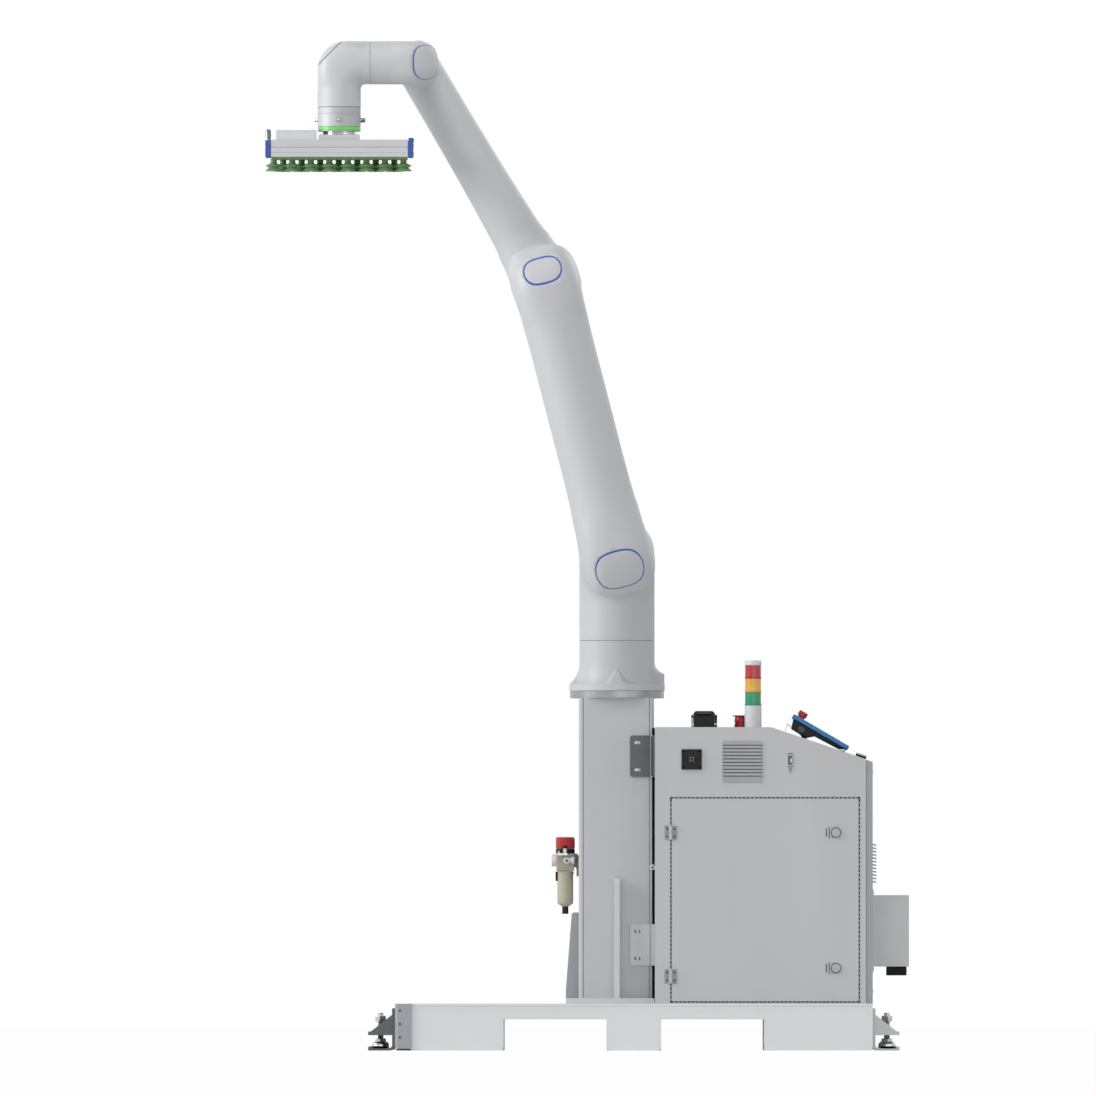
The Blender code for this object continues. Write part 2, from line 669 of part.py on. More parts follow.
def door(shell):
    """A folded tray with two collars round its locks, hung on the hinge axis."""
    swing = axis("door_axis", (*DOOR_AXIS, DOOR_LOW_Z))
    face, back = CABINET_FACE, CABINET_FACE + DOOR_RETURN
    panel = box("cabinet_door", (DOOR_LEFT, face, DOOR_LOW_Z), (DOOR_RIGHT, back, DOOR_LOW_Z + DOOR_HEIGHT),
                "cabinet_steel")
    t = DOOR_SHEET
    cut(panel, box("door_room", (DOOR_LEFT + t, face + t, DOOR_LOW_Z + t),
                   (DOOR_RIGHT - t, back + 0.01, DOOR_LOW_Z + DOOR_HEIGHT - t)))
    hang(panel, swing)
    for name, level in zip(("lower", "upper"), LOCK_LEVELS):
        z = BASE_HEIGHT + level
        at = (LOCK_X, face, z)
        join(panel, rod("collar_" + name, LOCK_RADIUS, (LOCK_X, face - 0.004, z),
                        (LOCK_X, face + t + 0.004, z), sides=20))
        cut(panel, rod("lock_hole_" + name, LOCK_CORE + RUN, (LOCK_X, face - 0.02, z),
                       (LOCK_X, face + 0.02, z), sides=20))
        turn = axis("lock_axis_" + name, at, swing)
        core = rod("door_lock_" + name, LOCK_CORE, (LOCK_X, face - 0.005, z),
                   (LOCK_X, face + DOOR_RETURN + 0.006, z), "bright_metal", 20)
        cam_y = face + DOOR_RETURN + 0.0023
        cam_length = DOOR_RIGHT + 0.011 - LOCK_X
        join(core, box("cam_" + name, (LOCK_X - 0.008, cam_y, z - cam_length),
                       (LOCK_X + 0.008, cam_y + 0.003, z + 0.010)))
        cut(core, box("key_" + name, (LOCK_X - 0.0012, face - 0.01, z - 0.005),
                      (LOCK_X + 0.0012, face - 0.0035, z + 0.005)))
        hang(core, turn)
    x, y = DOOR_AXIS
    for level in HINGE_LEVELS:
        middle = BASE_HEIGHT + level
        low, high = middle - HINGE_HEIGHT / 2, middle + HINGE_HEIGHT / 2
        flat = (CABINET_FACE - HINGE_SHEET, CABINET_FACE + 0.001)
        clear = HINGE_RADIUS + RUN
        leaf = box("leaf", (x - HINGE_LEAF - 0.002, flat[0], low), (x - 0.002, flat[1], high))
        cut(leaf, box("relief", (x - clear, y - 0.01, middle - 0.0008), (x + 0.01, y + 0.01, high + 0.01)))
        join(leaf, rod("knuckle", HINGE_RADIUS, (x, y, low + 0.0005), (x, y, middle - GAP), sides=12))
        join(leaf, rod("pin", HINGE_PIN, (x, y, middle - 0.002), (x, y, high - 0.003), sides=10))
        join(shell, leaf)
        leaf = box("leaf", (x + 0.002, flat[0], low), (x + HINGE_LEAF + 0.002, flat[1], high))
        cut(leaf, box("relief", (x - 0.01, y - 0.01, low - 0.01), (x + clear, y + 0.01, middle + 0.0008)))
        join(leaf, rod("knuckle", HINGE_RADIUS, (x, y, middle + GAP), (x, y, high - 0.0005), sides=12))
        cut(leaf, rod("bore", HINGE_PIN + RUN, (x, y, middle - 0.01), (x, y, high - 0.0025), sides=10))
        join(panel, leaf)


def top_at(x):
    """The height of the cabinet's top at a place along it."""
    return CABINET_TOP - SLOPE * max(0.0, x - CABINET_SLOPE_START)


def cabinet_inside():
    """Mounting plate with its standoffs, breakers on a rail, and the robot controller."""
    back = CABINET_WIDTH / 2 - CABINET_SHEET - GAP
    plate = box("mounting_plate", (0.150, back - 0.023, 0.200), (0.640, back - 0.020, 0.680), "bright_metal")
    for x in (0.170, 0.620):
        for z in (0.220, 0.660):
            join(plate, rod("standoff", 0.008, (x, back - 0.022, z), (x, back, z), sides=10))
    front = back - 0.022
    rail = box("rail", (0.200, front - 0.012, 0.580), (0.580, front, 0.615))
    for i in range(9):
        low = 0.215 + 0.040 * i
        join(rail, box("breaker", (low, front - 0.070, 0.560), (low + 0.034, front - 0.010, 0.640)))
    join(plate, rail)
    floor = CABINET_FLOOR + CABINET_SHEET + GAP
    case = box("robot_controller", (0.180, -0.110, floor + 0.012), (0.560, 0.200, floor + 0.300),
               "plate_grey", 0.006)
    for x in (0.210, 0.530):
        for y in (-0.080, 0.170):
            join(case, rod("rubber_foot", 0.012, (x, y, floor), (x, y, floor + 0.020), sides=10))
    return case


def vents():
    """Slotted grille in the front face and a louvre with raised blades on the back."""
    wide, high, thick = GRILLE
    gx, gz = GRILLE_CENTRE
    face = CABINET_FACE - GAP
    outline = [rounded_box(wide / 2, high / 2, 0.003, (gx, gz), 2)]
    span = GRILLE_PITCH * (GRILLE_SLOTS - 1)
    for i in range(GRILLE_SLOTS):
        level = gz + span / 2 - GRILLE_PITCH * i
        outline.append(rounded_box(wide / 2 - 0.007, GRILLE_SLOT / 2, GRILLE_SLOT / 2 - 0.0001, (gx, level), 1))
    prism("vent_grille", outline, face - thick, face, "cabinet_steel")
    left = CABINET_RIGHT + CABINET_BACK + GAP
    middle = BASE_HEIGHT + LOUVRE_LEVEL - LOUVRE[1] / 2
    low = middle - LOUVRE[1] / 2
    pitch = LOUVRE[1] / LOUVRE_TEETH
    blades = [(left, low), (left + 0.004, low)]
    for i in range(LOUVRE_TEETH):
        blades += [(left + LOUVRE[2], low + pitch * (i + 0.25)), (left + 0.004, low + pitch * (i + 0.9))]
    blades += [(left + 0.004, low + LOUVRE[1]), (left, low + LOUVRE[1])]
    prism("back_louvre", [blades], -LOUVRE[0] / 2, LOUVRE[0] / 2, "plate_grey")


def electrical():
    """Junction box with its plug behind, service port at the side, connector on top."""
    left = CABINET_RIGHT + CABINET_BACK + GAP
    middle = JUNCTION_LEVEL
    case = box("junction_box", (left, -JUNCTION_PLATE[1] / 2, middle - JUNCTION_PLATE[2] / 2),
               (left + JUNCTION_PLATE[0], JUNCTION_PLATE[1] / 2, middle + JUNCTION_PLATE[2] / 2),
               "cabinet_steel")
    right = left + JUNCTION_PLATE[0] + JUNCTION[0]
    low = middle - JUNCTION[2] / 2
    join(case, box("junction_case", (left + 0.001, -JUNCTION[1] / 2, low), (right, JUNCTION[1] / 2, low + JUNCTION[2])))
    end = right - 0.006
    join(case, box("junction_plug", (end - PLUG[0], -PLUG[1] / 2, low - PLUG[2]), (end, PLUG[1] / 2, low + 0.002),
                   bevel=0.002))
    px, pz = PORT_CENTRE
    face = CABINET_FACE - GAP
    half = PORT_SIZE / 2
    port = prism("service_port", [rounded_box(half, half, 0.004, (px, pz), 3)], face - PORT_DEPTH, face,
                 "black_plastic")
    cut(port, rod("port_recess", 0.018, (px, face - PORT_DEPTH - 0.01, pz), (px, face - 0.003, pz), sides=20))
    join(port, rod("port_button", 0.006, (px, face - PORT_DEPTH + 0.001, pz), (px, face - 0.001, pz), sides=12))
    lx, lz = LATCH_CENTRE
    w, h, d = LATCH_SIZE
    latch = box("side_latch", (lx - w / 2, face - d, lz - h / 2), (lx + w / 2, face, lz - h * 0.1), "bright_metal")
    join(latch, box("latch_bar", (lx - w / 2, face - d * 0.5, lz - h * 0.2), (lx - w / 6, face, lz + h / 2)))
    join(latch, box("latch_hook", (lx - w / 2, face - d, lz + h * 0.35), (lx + w / 2, face, lz + h / 2)))
    base = CABINET_TOP + GAP
    w, d, h = CONNECTOR
    y = -0.180
    hood = box("top_connector", (CONNECTOR_X - w * 0.41, y - d / 2, base), (CONNECTOR_X + w * 0.41, y + d / 2, base + 0.027),
               "black_plastic", 0.002)
    join(hood, box("hood_top", (CONNECTOR_X - w * 0.36, y - d * 0.4, base + 0.020),
                   (CONNECTOR_X + w * 0.36, y + d * 0.4, base + h), bevel=0.006))
    for side in (-1, 1):
        x = CONNECTOR_X + side * w * 0.44
        join(hood, box("lever", (x - w * 0.06, y - 0.012, base + 0.003), (x + w * 0.06, y + 0.012, base + 0.030)))
    return case


def signals():
    """Emergency stop and stack light on the cabinet's level top."""
    base = CABINET_TOP + GAP
    at = (STOP_X, -0.130, base)
    collar = 0.0110
    turned("stop_collar", [(0, collar + 0.012), (0.012, collar + 0.012), (0.012, collar),
                           (STOP_BODY, collar), (STOP_BODY, 0), (0, 0)], at, UP, "signal_red", 24)
    low = collar + STOP_TRAVEL + 0.0005
    push = axis("stop_axis", (at[0], at[1], base + low))
    head = STOP_HEIGHT - low
    hollow = collar + 0.012 - low + STOP_TRAVEL + 0.0008
    button = turned("stop_button", [
        (0, head), (STOP_HEAD * 0.94, head), (STOP_HEAD, head - 0.0012), (STOP_HEAD, head - 0.0035),
        (STOP_BODY + 0.0005, head - 0.0050), (STOP_BODY, 0), (0.0123, 0), (0.0123, hollow), (0, hollow),
    ], (at[0], at[1], base + low), UP, "signal_red", 24)
    hang(button, push)
    y = -0.200
    lens_base = base + LIGHT_BASE
    post = turned("stack_light_base", [
        (0, LIGHT_BASE), (LIGHT_RADIUS, LIGHT_BASE), (LIGHT_RADIUS, 0), (0, 0),
    ], (LIGHT_X, y, base), UP, "light_plastic", 24)
    names = ("green", "amber", "red")
    for i, name in enumerate(names):
        z = lens_base + GAP + i * LIGHT_LENS
        rod("stack_lens_" + name, LIGHT_RADIUS, (LIGHT_X, y, z), (LIGHT_X, y, z + LIGHT_LENS - GAP),
            "lens_" + name, 24)
    z = lens_base + GAP + 3 * LIGHT_LENS
    turned("stack_light_cap", [
        (0, LIGHT_CAP), (LIGHT_RADIUS * 0.9, LIGHT_CAP), (LIGHT_RADIUS, LIGHT_CAP - 0.0025),
        (LIGHT_RADIUS, 0), (0, 0),
    ], (LIGHT_X, y, z), UP, "light_plastic", 24)
    return post


def pendant():
    """Teach pendant lying in its cradle on the slope, tilted more than the slope is."""
    ca, sa = math.cos(PENDANT_TILT), math.sin(PENDANT_TILT)
    y = -0.060

    def at(p, q):
        return (PENDANT_X + p * ca + q * sa, PENDANT_LEVEL - p * sa + q * ca)

    half, deep = PENDANT[0] / 2, PENDANT[1] / 2
    thick = PENDANT[2]
    lift = axis("pendant_axis", (PENDANT_X, y, PENDANT_LEVEL))
    frame = prism("pendant_frame", [[at(-half, -thick), at(half, -thick), at(half, -0.003), at(half - 0.003, 0),
                                     at(-half + 0.003, 0), at(-half, -0.003)]], y - deep, y + deep, "pendant_blue")
    low = -thick - GAP
    body = prism("pendant_body", [[at(-half + 0.006, low), at(-half + 0.014, -0.0385), at(-0.027, -0.0400),
                                   at(-0.008, -0.0235), at(half - 0.022, -0.0205), at(half - 0.008, low)]],
                 y - deep + 0.008, y + deep - 0.008, "black_plastic")
    px, pz = at(-half + 0.022, 0)
    up = Vector((sa, 0, ca))
    stop_y = y - deep + 0.035
    seat = Vector((px, stop_y, pz)) + up * GAP
    push = axis("pendant_stop_axis", seat, lift)
    button = turned("pendant_stop", [
        (0, 0.0180), (PENDANT_STOP * 0.9, 0.0180), (PENDANT_STOP, 0.0160), (PENDANT_STOP, 0.0060),
        (PENDANT_STOP * 0.8, 0.0040 + PENDANT_STOP_TRAVEL - 0.0030),
        (PENDANT_STEM, 0.0040 + PENDANT_STOP_TRAVEL - 0.0030), (PENDANT_STEM, -0.0020), (0, -0.0020),
    ], seat, up, "signal_red", 20)
    cut(frame, rod("stop_bore", PENDANT_STEM + GAP, seat - up * 0.0070, seat + up * 0.01, sides=20))
    hang(frame, lift)
    hang(body, lift)
    hang(button, push)
    x0, x1 = 0.478, 0.6935
    plate = [(x0, top_at(x0) + GAP), (x1, top_at(x1) + GAP), (x1, top_at(x1) + GAP + 0.0025),
             (x0 + 0.004, top_at(x0) + GAP + 0.0040), (x0 + 0.008, top_at(x0) + 0.0150),
             (x0 + 0.004, top_at(x0) + 0.0160), (x0, top_at(x0) + 0.0050)]
    cradle = prism("pendant_cradle", [plate], y - 0.050, y + 0.050, "plate_grey")
    keel_low, keel_high = at(-0.070, -0.0390 - GAP), at(-0.040, -0.0400 - GAP * 2)
    prop = [(keel_low[0], top_at(keel_low[0]) + GAP + 0.001), (keel_high[0], top_at(keel_high[0]) + GAP + 0.001),
            keel_high, keel_low]
    join(cradle, prism("cradle_prop", [prop], y - 0.040, y + 0.040))
    x2, x3 = 0.6630, 0.6935
    cover = [(x, top_at(x) + GAP + rise) for x, rise in ((x2, 0), (x3, 0), (x3, 0.0080), (x2, 0.0080))]
    join(cradle, prism("slope_cover", [cover], -0.060, 0.060))


def air_unit():
    """Filter regulator on the column: bracket and body, knob, gauge, bowl with its drain."""
    half = AIR_BODY / 2
    y = 0.0
    low, high = AIR_LEVEL, AIR_LEVEL + AIR_BODY_HEIGHT
    body = box("air_body", (AIR_X - half, y - half, low), (AIR_X + half, y + half, high), "air_beige", 0.004)
    wall = -COLUMN / 2 - GAP
    join(body, box("air_bracket", (AIR_X + half - 0.002, y - half, low - 0.014),
                   (wall, y + half, high - 0.001)))
    join(body, rod("air_neck", AIR_KNOB * 0.96, (AIR_X, y, high - 0.002), (AIR_X, y, high + 0.012), sides=20))
    elbow = low + AIR_BODY_HEIGHT * 0.59
    join(body, rod("air_inlet", 0.0095, (AIR_X + 0.004, y - half + 0.005, elbow),
                   (AIR_X + 0.004, y - half - 0.020, elbow), sides=14))
    join(body, rod("air_elbow", 0.0090, (AIR_X - 0.008, y - half - 0.012, elbow),
                   (AIR_X + 0.026, y - half - 0.012, elbow), sides=14))
    knob_low = high + 0.012 + GAP
    turn = axis("knob_axis", (AIR_X, y, knob_low))
    knob = rod("air_knob", AIR_KNOB, (AIR_X, y, knob_low), (AIR_X, y, knob_low + AIR_KNOB_HEIGHT),
               "signal_red", 12)
    hang(knob, turn)
    left = AIR_X - half - GAP
    middle = low + AIR_BODY_HEIGHT * 0.60
    gauge = rod("pressure_gauge", GAUGE_RADIUS, (left, y, middle), (left - GAUGE_DEPTH, y, middle),
                "gauge_white", 20)
    cut(gauge, rod("gauge_face", GAUGE_RADIUS - 0.002, (left - GAUGE_DEPTH + 0.001, y, middle),
                   (left - GAUGE_DEPTH - 0.01, y, middle), sides=20))
    top = low - GAP
    turned("filter_bowl", [
        (0, 0), (AIR_BOWL, 0), (AIR_BOWL, -AIR_BOWL_HEIGHT + 0.014), (AIR_BOWL * 0.8, -AIR_BOWL_HEIGHT + 0.004),
        (0.0090, -AIR_BOWL_HEIGHT), (0.0090, -AIR_BOWL_HEIGHT - 0.020), (0, -AIR_BOWL_HEIGHT - 0.020),
    ], (AIR_X, y, top), UP, "light_plastic", 20)
    return body


def ring(centre, out, side, inner, outer, width, power):
    """A closed section: round on its inner side, fuller on its outer one."""
    points = []
    for k in range(RING_SIDES):
        a = 2 * math.pi * k / RING_SIDES
        c, s = math.cos(a), math.sin(a)
        if c > 0:
            x = c ** (2 / power) * outer
            y = math.copysign(abs(s) ** (2 / power), s) * width
        else:
            x, y = c * inner, s * width
        points.append(centre + out * x + side * y)
    return points


def outer_reach(angle, ra, rb, fillet):
    """How far the corner's outer wall is from the fillet's centre, in one direction."""
    s, c = math.sin(angle), math.cos(angle)
    bend = OUTER_CORNER * (ra + rb) / 2
    from_a, from_b = rb + fillet, ra + fillet
    arc_a, arc_b = bend - rb, bend - ra
    if c > 0.001 and from_a - (2 * ra + fillet) / c * s >= arc_a:
        return (2 * ra + fillet) / c
    if s > 0.001 and from_b - (2 * rb + fillet) / s * c >= arc_b:
        return (2 * rb + fillet) / s
    da, db = from_a - arc_a, from_b - arc_b
    along = da * s + db * c
    return along + math.sqrt(along * along - da * da - db * db + bend * bend)


def corner_rings(at, u, v, side, ra, rb, fillet):
    """Sections round a square corner, from the tube along u to the tube along v."""
    rings = []
    for i in range(CORNER_STEPS + 1):
        angle = math.pi / 2 * i / CORNER_STEPS
        s, c = math.sin(angle), math.cos(angle)
        width = ra + (rb - ra) * (1 - math.cos(2 * angle)) / 2
        outer = outer_reach(angle, ra, rb, fillet) - fillet - width
        inset = fillet + width
        centre = at + u * (rb + fillet - s * inset) + v * (ra + fillet - c * inset)
        rings.append(ring(centre, -(u * s + v * c), side, width, outer, width, 2 + 1.2 * math.sin(2 * angle)))
    return rings


def round_ring(centre, out, side, radius):
    return ring(centre, out, side, radius, radius, radius, 2)


def loft(name, rings, origin, finish=None):
    """A solid through the sections, closed at both ends."""
    bm = bmesh.new()
    rows = [[bm.verts.new(p - origin) for p in points] for points in rings]
    for a, b in zip(rows, rows[1:]):
        for k in range(RING_SIDES):
            n = (k + 1) % RING_SIDES
            bm.faces.new((a[k], a[n], b[n], b[k]))
    bm.faces.new(rows[0])
    bm.faces.new(rows[-1])
    return place(name, mesh_of(bm, name), finish, origin)


def single_rings(at, u, v, reach_u, reach_v, ra, rb, fillet):
    """Sections of a housing with one corner."""
    side = u.cross(v)
    rings = [round_ring(at + u * reach_u, -v, side, ra)]
    rings += corner_rings(at, u, v, side, ra, rb, fillet)
    rings.append(round_ring(at + v * reach_v, -u, side, rb))
    return rings


def double_rings(first, second, u, reach_1, reach_2, radii_1, radii_2, fillets, shaft):
    """Sections of an arm with a corner at each end, and a shaft of given radii between."""
    v = (second - first).normalized()
    side = u.cross(v)
    length = (second - first).length
    rings = [round_ring(first + u * reach_1, -v, side, radii_1[0])]
    rings += corner_rings(first, u, v, side, *radii_1, fillets[0])
    for share, radius in shaft:
        rings.append(round_ring(first + v * (length * share), -u, side, radius))
    rings += corner_rings(second, u, -v, side, *radii_2, fillets[1])[::-1]
    rings.append(round_ring(second + u * reach_2, v, side, radii_2[0]))
    return rings


def slab(name, at, u, v, cap, low, high):
    """A block beyond the plane of a cap's rim, which leans from the front to the outside."""
    tilt, depth = cap
    out = -(u * math.cos(tilt) + v * math.sin(tilt))
    along = u * math.sin(tilt) - v * math.cos(tilt)
    obj = box(name, (-0.3, -0.3, depth + low), (0.3, 0.3, depth + high))
    turn = Matrix((along, out.cross(along), out)).transposed().to_4x4()
    obj.matrix_world = Matrix.Translation(at) @ turn @ Matrix.Translation((0, 0, depth + (low + high) / 2))
    return obj


def housing(name, rings, origin, corners, finish="arm_grey"):
    """An arm housing with its corner caps as separate solids."""
    body = loft(name, rings, origin, finish)
    pieces = [body]
    for i, (at, u, v, rim) in enumerate(corners):
        cut(body, slab(name + "_seat_%d" % i, at, u, v, rim, 0, 0.3))
        cap = loft(name + ("_lower_cap", "_upper_cap")[i] if len(corners) > 1 else name + "_cap", rings,
                   origin, finish)
        keep(cap, slab(name + "_lid_%d" % i, at, u, v, rim, GAP, 0.3))
        pieces.append(cap)
    return pieces


X, Y = Vector((1, 0, 0)), Vector((0, 1, 0))
UPPER_WAY = Vector((-math.sin(UPPER_LEAN), 0, math.cos(UPPER_LEAN)))
FORE_WAY = Vector((-math.sin(FORE_LEAN), 0, math.cos(FORE_LEAN)))
JOINT_1 = Vector((0, 0, SEAM_1))
JOINT_2 = Vector((0, SEAM_2_Y, AXIS_2))
JOINT_3 = JOINT_2 + UPPER_WAY * UPPER_LENGTH + Y * (SEAM_3_Y - SEAM_2_Y)
JOINT_4 = JOINT_3 + FORE_WAY * FORE_LENGTH + Y * (SEAM_4_Y - SEAM_3_Y)
JOINT_5 = Vector((JOINT_4.x - SEAM_5, WRIST_Y, JOINT_4.z))
JOINT_6 = Vector((JOINT_4.x - WRIST_LENGTH, WRIST_Y, JOINT_4.z - SEAM_6))


def at_y(point, y):
    return Vector((point.x, y, point.z))


def robot_base():
    """Cast foot of the arm: bolting flange, tube, four ribs, cable lug at the back."""
    low = FLANGE_LEVEL + COLUMN_FLANGE * 0 + 0.0009
    high = SEAM_1 - JOINT_GAP / 2
    base = turned("robot_base", [
        (0, high), (SHOULDER_RADIUS, high), (SHOULDER_RADIUS, low + 0.060), (SHOULDER_RADIUS + 0.004, low + 0.040),
        (SHOULDER_RADIUS + 0.010, low + 0.026), (BASE_FLANGE_RADIUS, low + BASE_FLANGE), (BASE_FLANGE_RADIUS, low),
        (0, low),
    ], (0, 0, 0), UP, "arm_grey", 40)
    r = SHOULDER_RADIUS
    for k in range(4):
        out = (BASE_FLANGE_RADIUS - 0.002, low + BASE_FLANGE - 0.002)
        rib = prism("base_rib_%d" % k, [[(r - 0.006, out[1]), (out[0], out[1]), (out[0], out[1] + 0.004),
                                         (r + 0.006, low + 0.070), (r - 0.006, low + 0.076)]], -0.012, 0.012)
        rib.rotation_euler = (0, 0, math.radians(90 * k + 45))
        join(base, rib)
    join(base, prism("cable_lug", [[(r - 0.010, low + 0.010), (0.133, low + 0.010), (0.133, low + 0.045),
                                    (r - 0.010, low + 0.045)]], -0.035, 0.035))
    return base


def arm():
    """Five housings with their caps, chained on the axes of the joints."""
    gap = JOINT_GAP / 2
    j1 = axis("joint_1", JOINT_1)
    j2 = axis("joint_2", JOINT_2, j1)
    j3 = axis("joint_3", JOINT_3, j2)
    j4 = axis("joint_4", JOINT_4, j3)
    j5 = axis("joint_5", JOINT_5, j4)
    j6 = axis("joint_6", JOINT_6, j5)
    r = SHOULDER_RADIUS
    at = Vector((0, 0, AXIS_2))
    rings = single_rings(at, -UP, -Y, AXIS_2 - SEAM_1 - gap, -SEAM_2_Y - gap, r, r, FILLET)
    for obj in housing("shoulder", rings, JOINT_1, [(at, -UP, -Y, SHOULDER_CAP)]):
        hang(obj, j1)
    first, second = at_y(JOINT_2, UPPER_Y), at_y(JOINT_3, UPPER_Y)
    shaft = [(0.21, 0.0912), (0.31, UPPER_RADIUS), (0.55, UPPER_RADIUS), (0.79, UPPER_RADIUS)]
    rings = double_rings(first, second, Y, SEAM_2_Y - UPPER_Y - gap, SEAM_3_Y - UPPER_Y - gap,
                         (0.105, 0.0945), (ELBOW_RADIUS, 0.0910), (FILLET, FILLET), shaft)
    caps = [(first, Y, UPPER_WAY, SHOULDER_CAP), (second, Y, -UPPER_WAY, ELBOW_CAP)]
    for obj in housing("upper_arm", rings, JOINT_2, caps):
        hang(obj, j2)
    first, second = at_y(JOINT_3, FORE_Y), at_y(JOINT_4, FORE_Y)
    shaft = [(0.205, 0.0715), (0.28, FORE_RADIUS_LOW), (0.45, 0.0650), (0.70, 0.0622)]
    rings = double_rings(first, second, -Y, FORE_Y - SEAM_3_Y - gap, FORE_Y - SEAM_4_Y - gap,
                         (0.097, 0.0775), (FORE_RADIUS_HIGH, FORE_RADIUS_HIGH), (0.018, 0.010), shaft)
    caps = [(first, -Y, FORE_WAY, FORE_CAP), (second, -Y, -FORE_WAY, WRIST_CAP)]
    for obj in housing("forearm", rings, JOINT_3, caps):
        hang(obj, j3)
    r = WRIST_RADIUS
    at = at_y(JOINT_4, WRIST_Y)
    rings = single_rings(at, Y, -X, SEAM_4_Y - WRIST_Y - gap, SEAM_5 - gap, r, r, WRIST_FILLET)
    for obj in housing("wrist_1", rings, JOINT_4, [(at, Y, -X, WRIST_CAP)]):
        hang(obj, j4)
    at = Vector((JOINT_6.x, WRIST_Y, JOINT_4.z))
    rings = single_rings(at, X, -UP, WRIST_LENGTH - SEAM_5 - gap, SEAM_6 - gap, r, r, WRIST_FILLET)
    for obj in housing("wrist_2", rings, JOINT_5, [(at, X, -UP, WRIST_CAP)]):
        hang(obj, j5)
    return j6


def tool_end(j6):
    """Tool body with a light ring, release button, tool flange."""
    x, y, top = JOINT_6.x, JOINT_6.y, JOINT_6.z - JOINT_GAP / 2
    low = top - TOOL_HEIGHT + JOINT_GAP / 2
    r = TOOL_RADIUS
    body = turned("tool_body", [
        (0, top), (r, top), (r, low + LIGHT_RING_UP + LIGHT_RING + GAP), (r - 0.004, low + LIGHT_RING_UP + LIGHT_RING + GAP),
        (r - 0.004, low + LIGHT_RING_UP - GAP), (r, low + LIGHT_RING_UP - GAP), (r, low), (0, low),
    ], (x, y, 0), UP, "arm_grey", 32)
    button_z = low + TOOL_BUTTON_UP
    face = y - r
    cut(body, rod("button_bore", TOOL_BUTTON + RUN, (x, face - 0.01, button_z), (x, face + 0.009, button_z), sides=16))
    for side in (-1, 1):
        reach = x + side * (r + 0.010)
        join(body, rod("socket_%d" % side, 0.0075, (x + side * (r - 0.006), y, button_z), (reach, y, button_z), sides=14))
    light = turned("light_ring", [
        (r + 0.0003, LIGHT_RING), (r + 0.0003, 0), (r - 0.004 + GAP, 0), (r - 0.004 + GAP, LIGHT_RING),
        (r + 0.0003, LIGHT_RING),
    ], (x, y, low + LIGHT_RING_UP), UP, "ring_green", 32)
    press = axis("tool_button_axis", (x, face, button_z), j6)
    button = rod("tool_button", TOOL_BUTTON, (x, face + 0.0075, button_z), (x, face - 0.0012, button_z),
                 "bright_metal", 16)
    flange = rod("tool_flange", TOOL_FLANGE_RADIUS, (x, y, low - GAP), (x, y, low - GAP - TOOL_FLANGE + 0.0010),
                 "plate_grey", 32)
    for obj in (body, light, flange):
        hang(obj, j6)
    hang(button, press)
    return low - GAP - TOOL_FLANGE + 0.0010


def cup(x, y, top, bottom):
    """A bellows suction cup with its threaded stem, hollow below."""
    r = CUP_RADIUS
    return turned("cup", [
        (0, top), (CUP_NECK, top), (CUP_NECK, bottom + 0.024),
        (r * 0.72, bottom + 0.0185), (r * 0.60, bottom + 0.0150), (r * 0.86, bottom + 0.0105),
        (r * 0.72, bottom + 0.0070), (r, bottom), (r - 0.0020, bottom), (0.0055, bottom + 0.0100),
        (0, bottom + 0.0100),
    ], (x, y, 0), UP, None, 10)


def gripper(j6, top):
    """Vacuum bar with its adapter, end caps, valve box and two rows of cups."""
    x, y = JOINT_6.x, JOINT_6.y
    top -= GAP
    wide, deep, high = ADAPTER
    adapter = box("gripper_adapter", (x - wide / 2, y - deep / 2, top - high), (x + wide / 2, y + deep / 2, top),
                  "bar_aluminium", 0.002)
    bar_top = top - high - GAP
    length, width, height = BAR
    centre = x - 0.0015
    left, right = centre - length / 2 + END_CAP, centre + length / 2 - END_CAP
    low = bar_top - height
    bar = box("gripper_bar", (left, y - width / 2, low), (right, y + width / 2, bar_top), "bar_aluminium", 0.0015)
    for side in (-1, 1):
        for z in (low + height * 0.33, low + height * 0.67):
            face = y + side * width / 2
            near, far = sorted((face - side * BAR_GROOVE, face + side * 0.01))
            cut(bar, box("groove", (left - 0.01, near, z - 0.004), (right + 0.01, far, z + 0.004)))
    left_cap = box("gripper_left_cap", (left - GAP - END_CAP, y - width / 2, low),
                   (left - GAP, y + width / 2, bar_top - 0.0017), "cap_blue", 0.003)
    join(left_cap, rod("air_fitting", FITTING_RADIUS, (left - END_CAP / 2, y, bar_top - 0.010),
                       (left - END_CAP / 2, y, bar_top + FITTING_HEIGHT), sides=12))
    right_cap = box("gripper_right_cap", (right + GAP, y - width / 2, low),
                    (right + GAP + END_CAP, y + width / 2, bar_top + 0.0046), "cap_blue", 0.003)
    w, d, h = VALVE_BOX
    end = x + VALVE_X
    valve = box("valve_box", (end - w, y - d / 2, bar_top + GAP), (end, y + d / 2, bar_top + GAP + h),
                "black_plastic", 0.003)
    bottom = low - GAP - CUP_PLATE - CUP_HEIGHT
    plate_low = low - GAP - CUP_PLATE
    suction = box("suction_cups", (left, y - width / 2 + 0.004, plate_low),
                  (right, y + width / 2 - 0.004, low - GAP), "cup_green")
    for row, count in enumerate(CUP_COUNTS):
        row_y = y + (CUP_ROW if row else -CUP_ROW)
        for i in range(count):
            cup_x = centre + (i - (count - 1) / 2) * CUP_PITCH
            join(suction, cup(cup_x, row_y, plate_low + 0.001, bottom))
    for obj in (adapter, bar, left_cap, right_cap, valve, suction):
        hang(obj, j6)


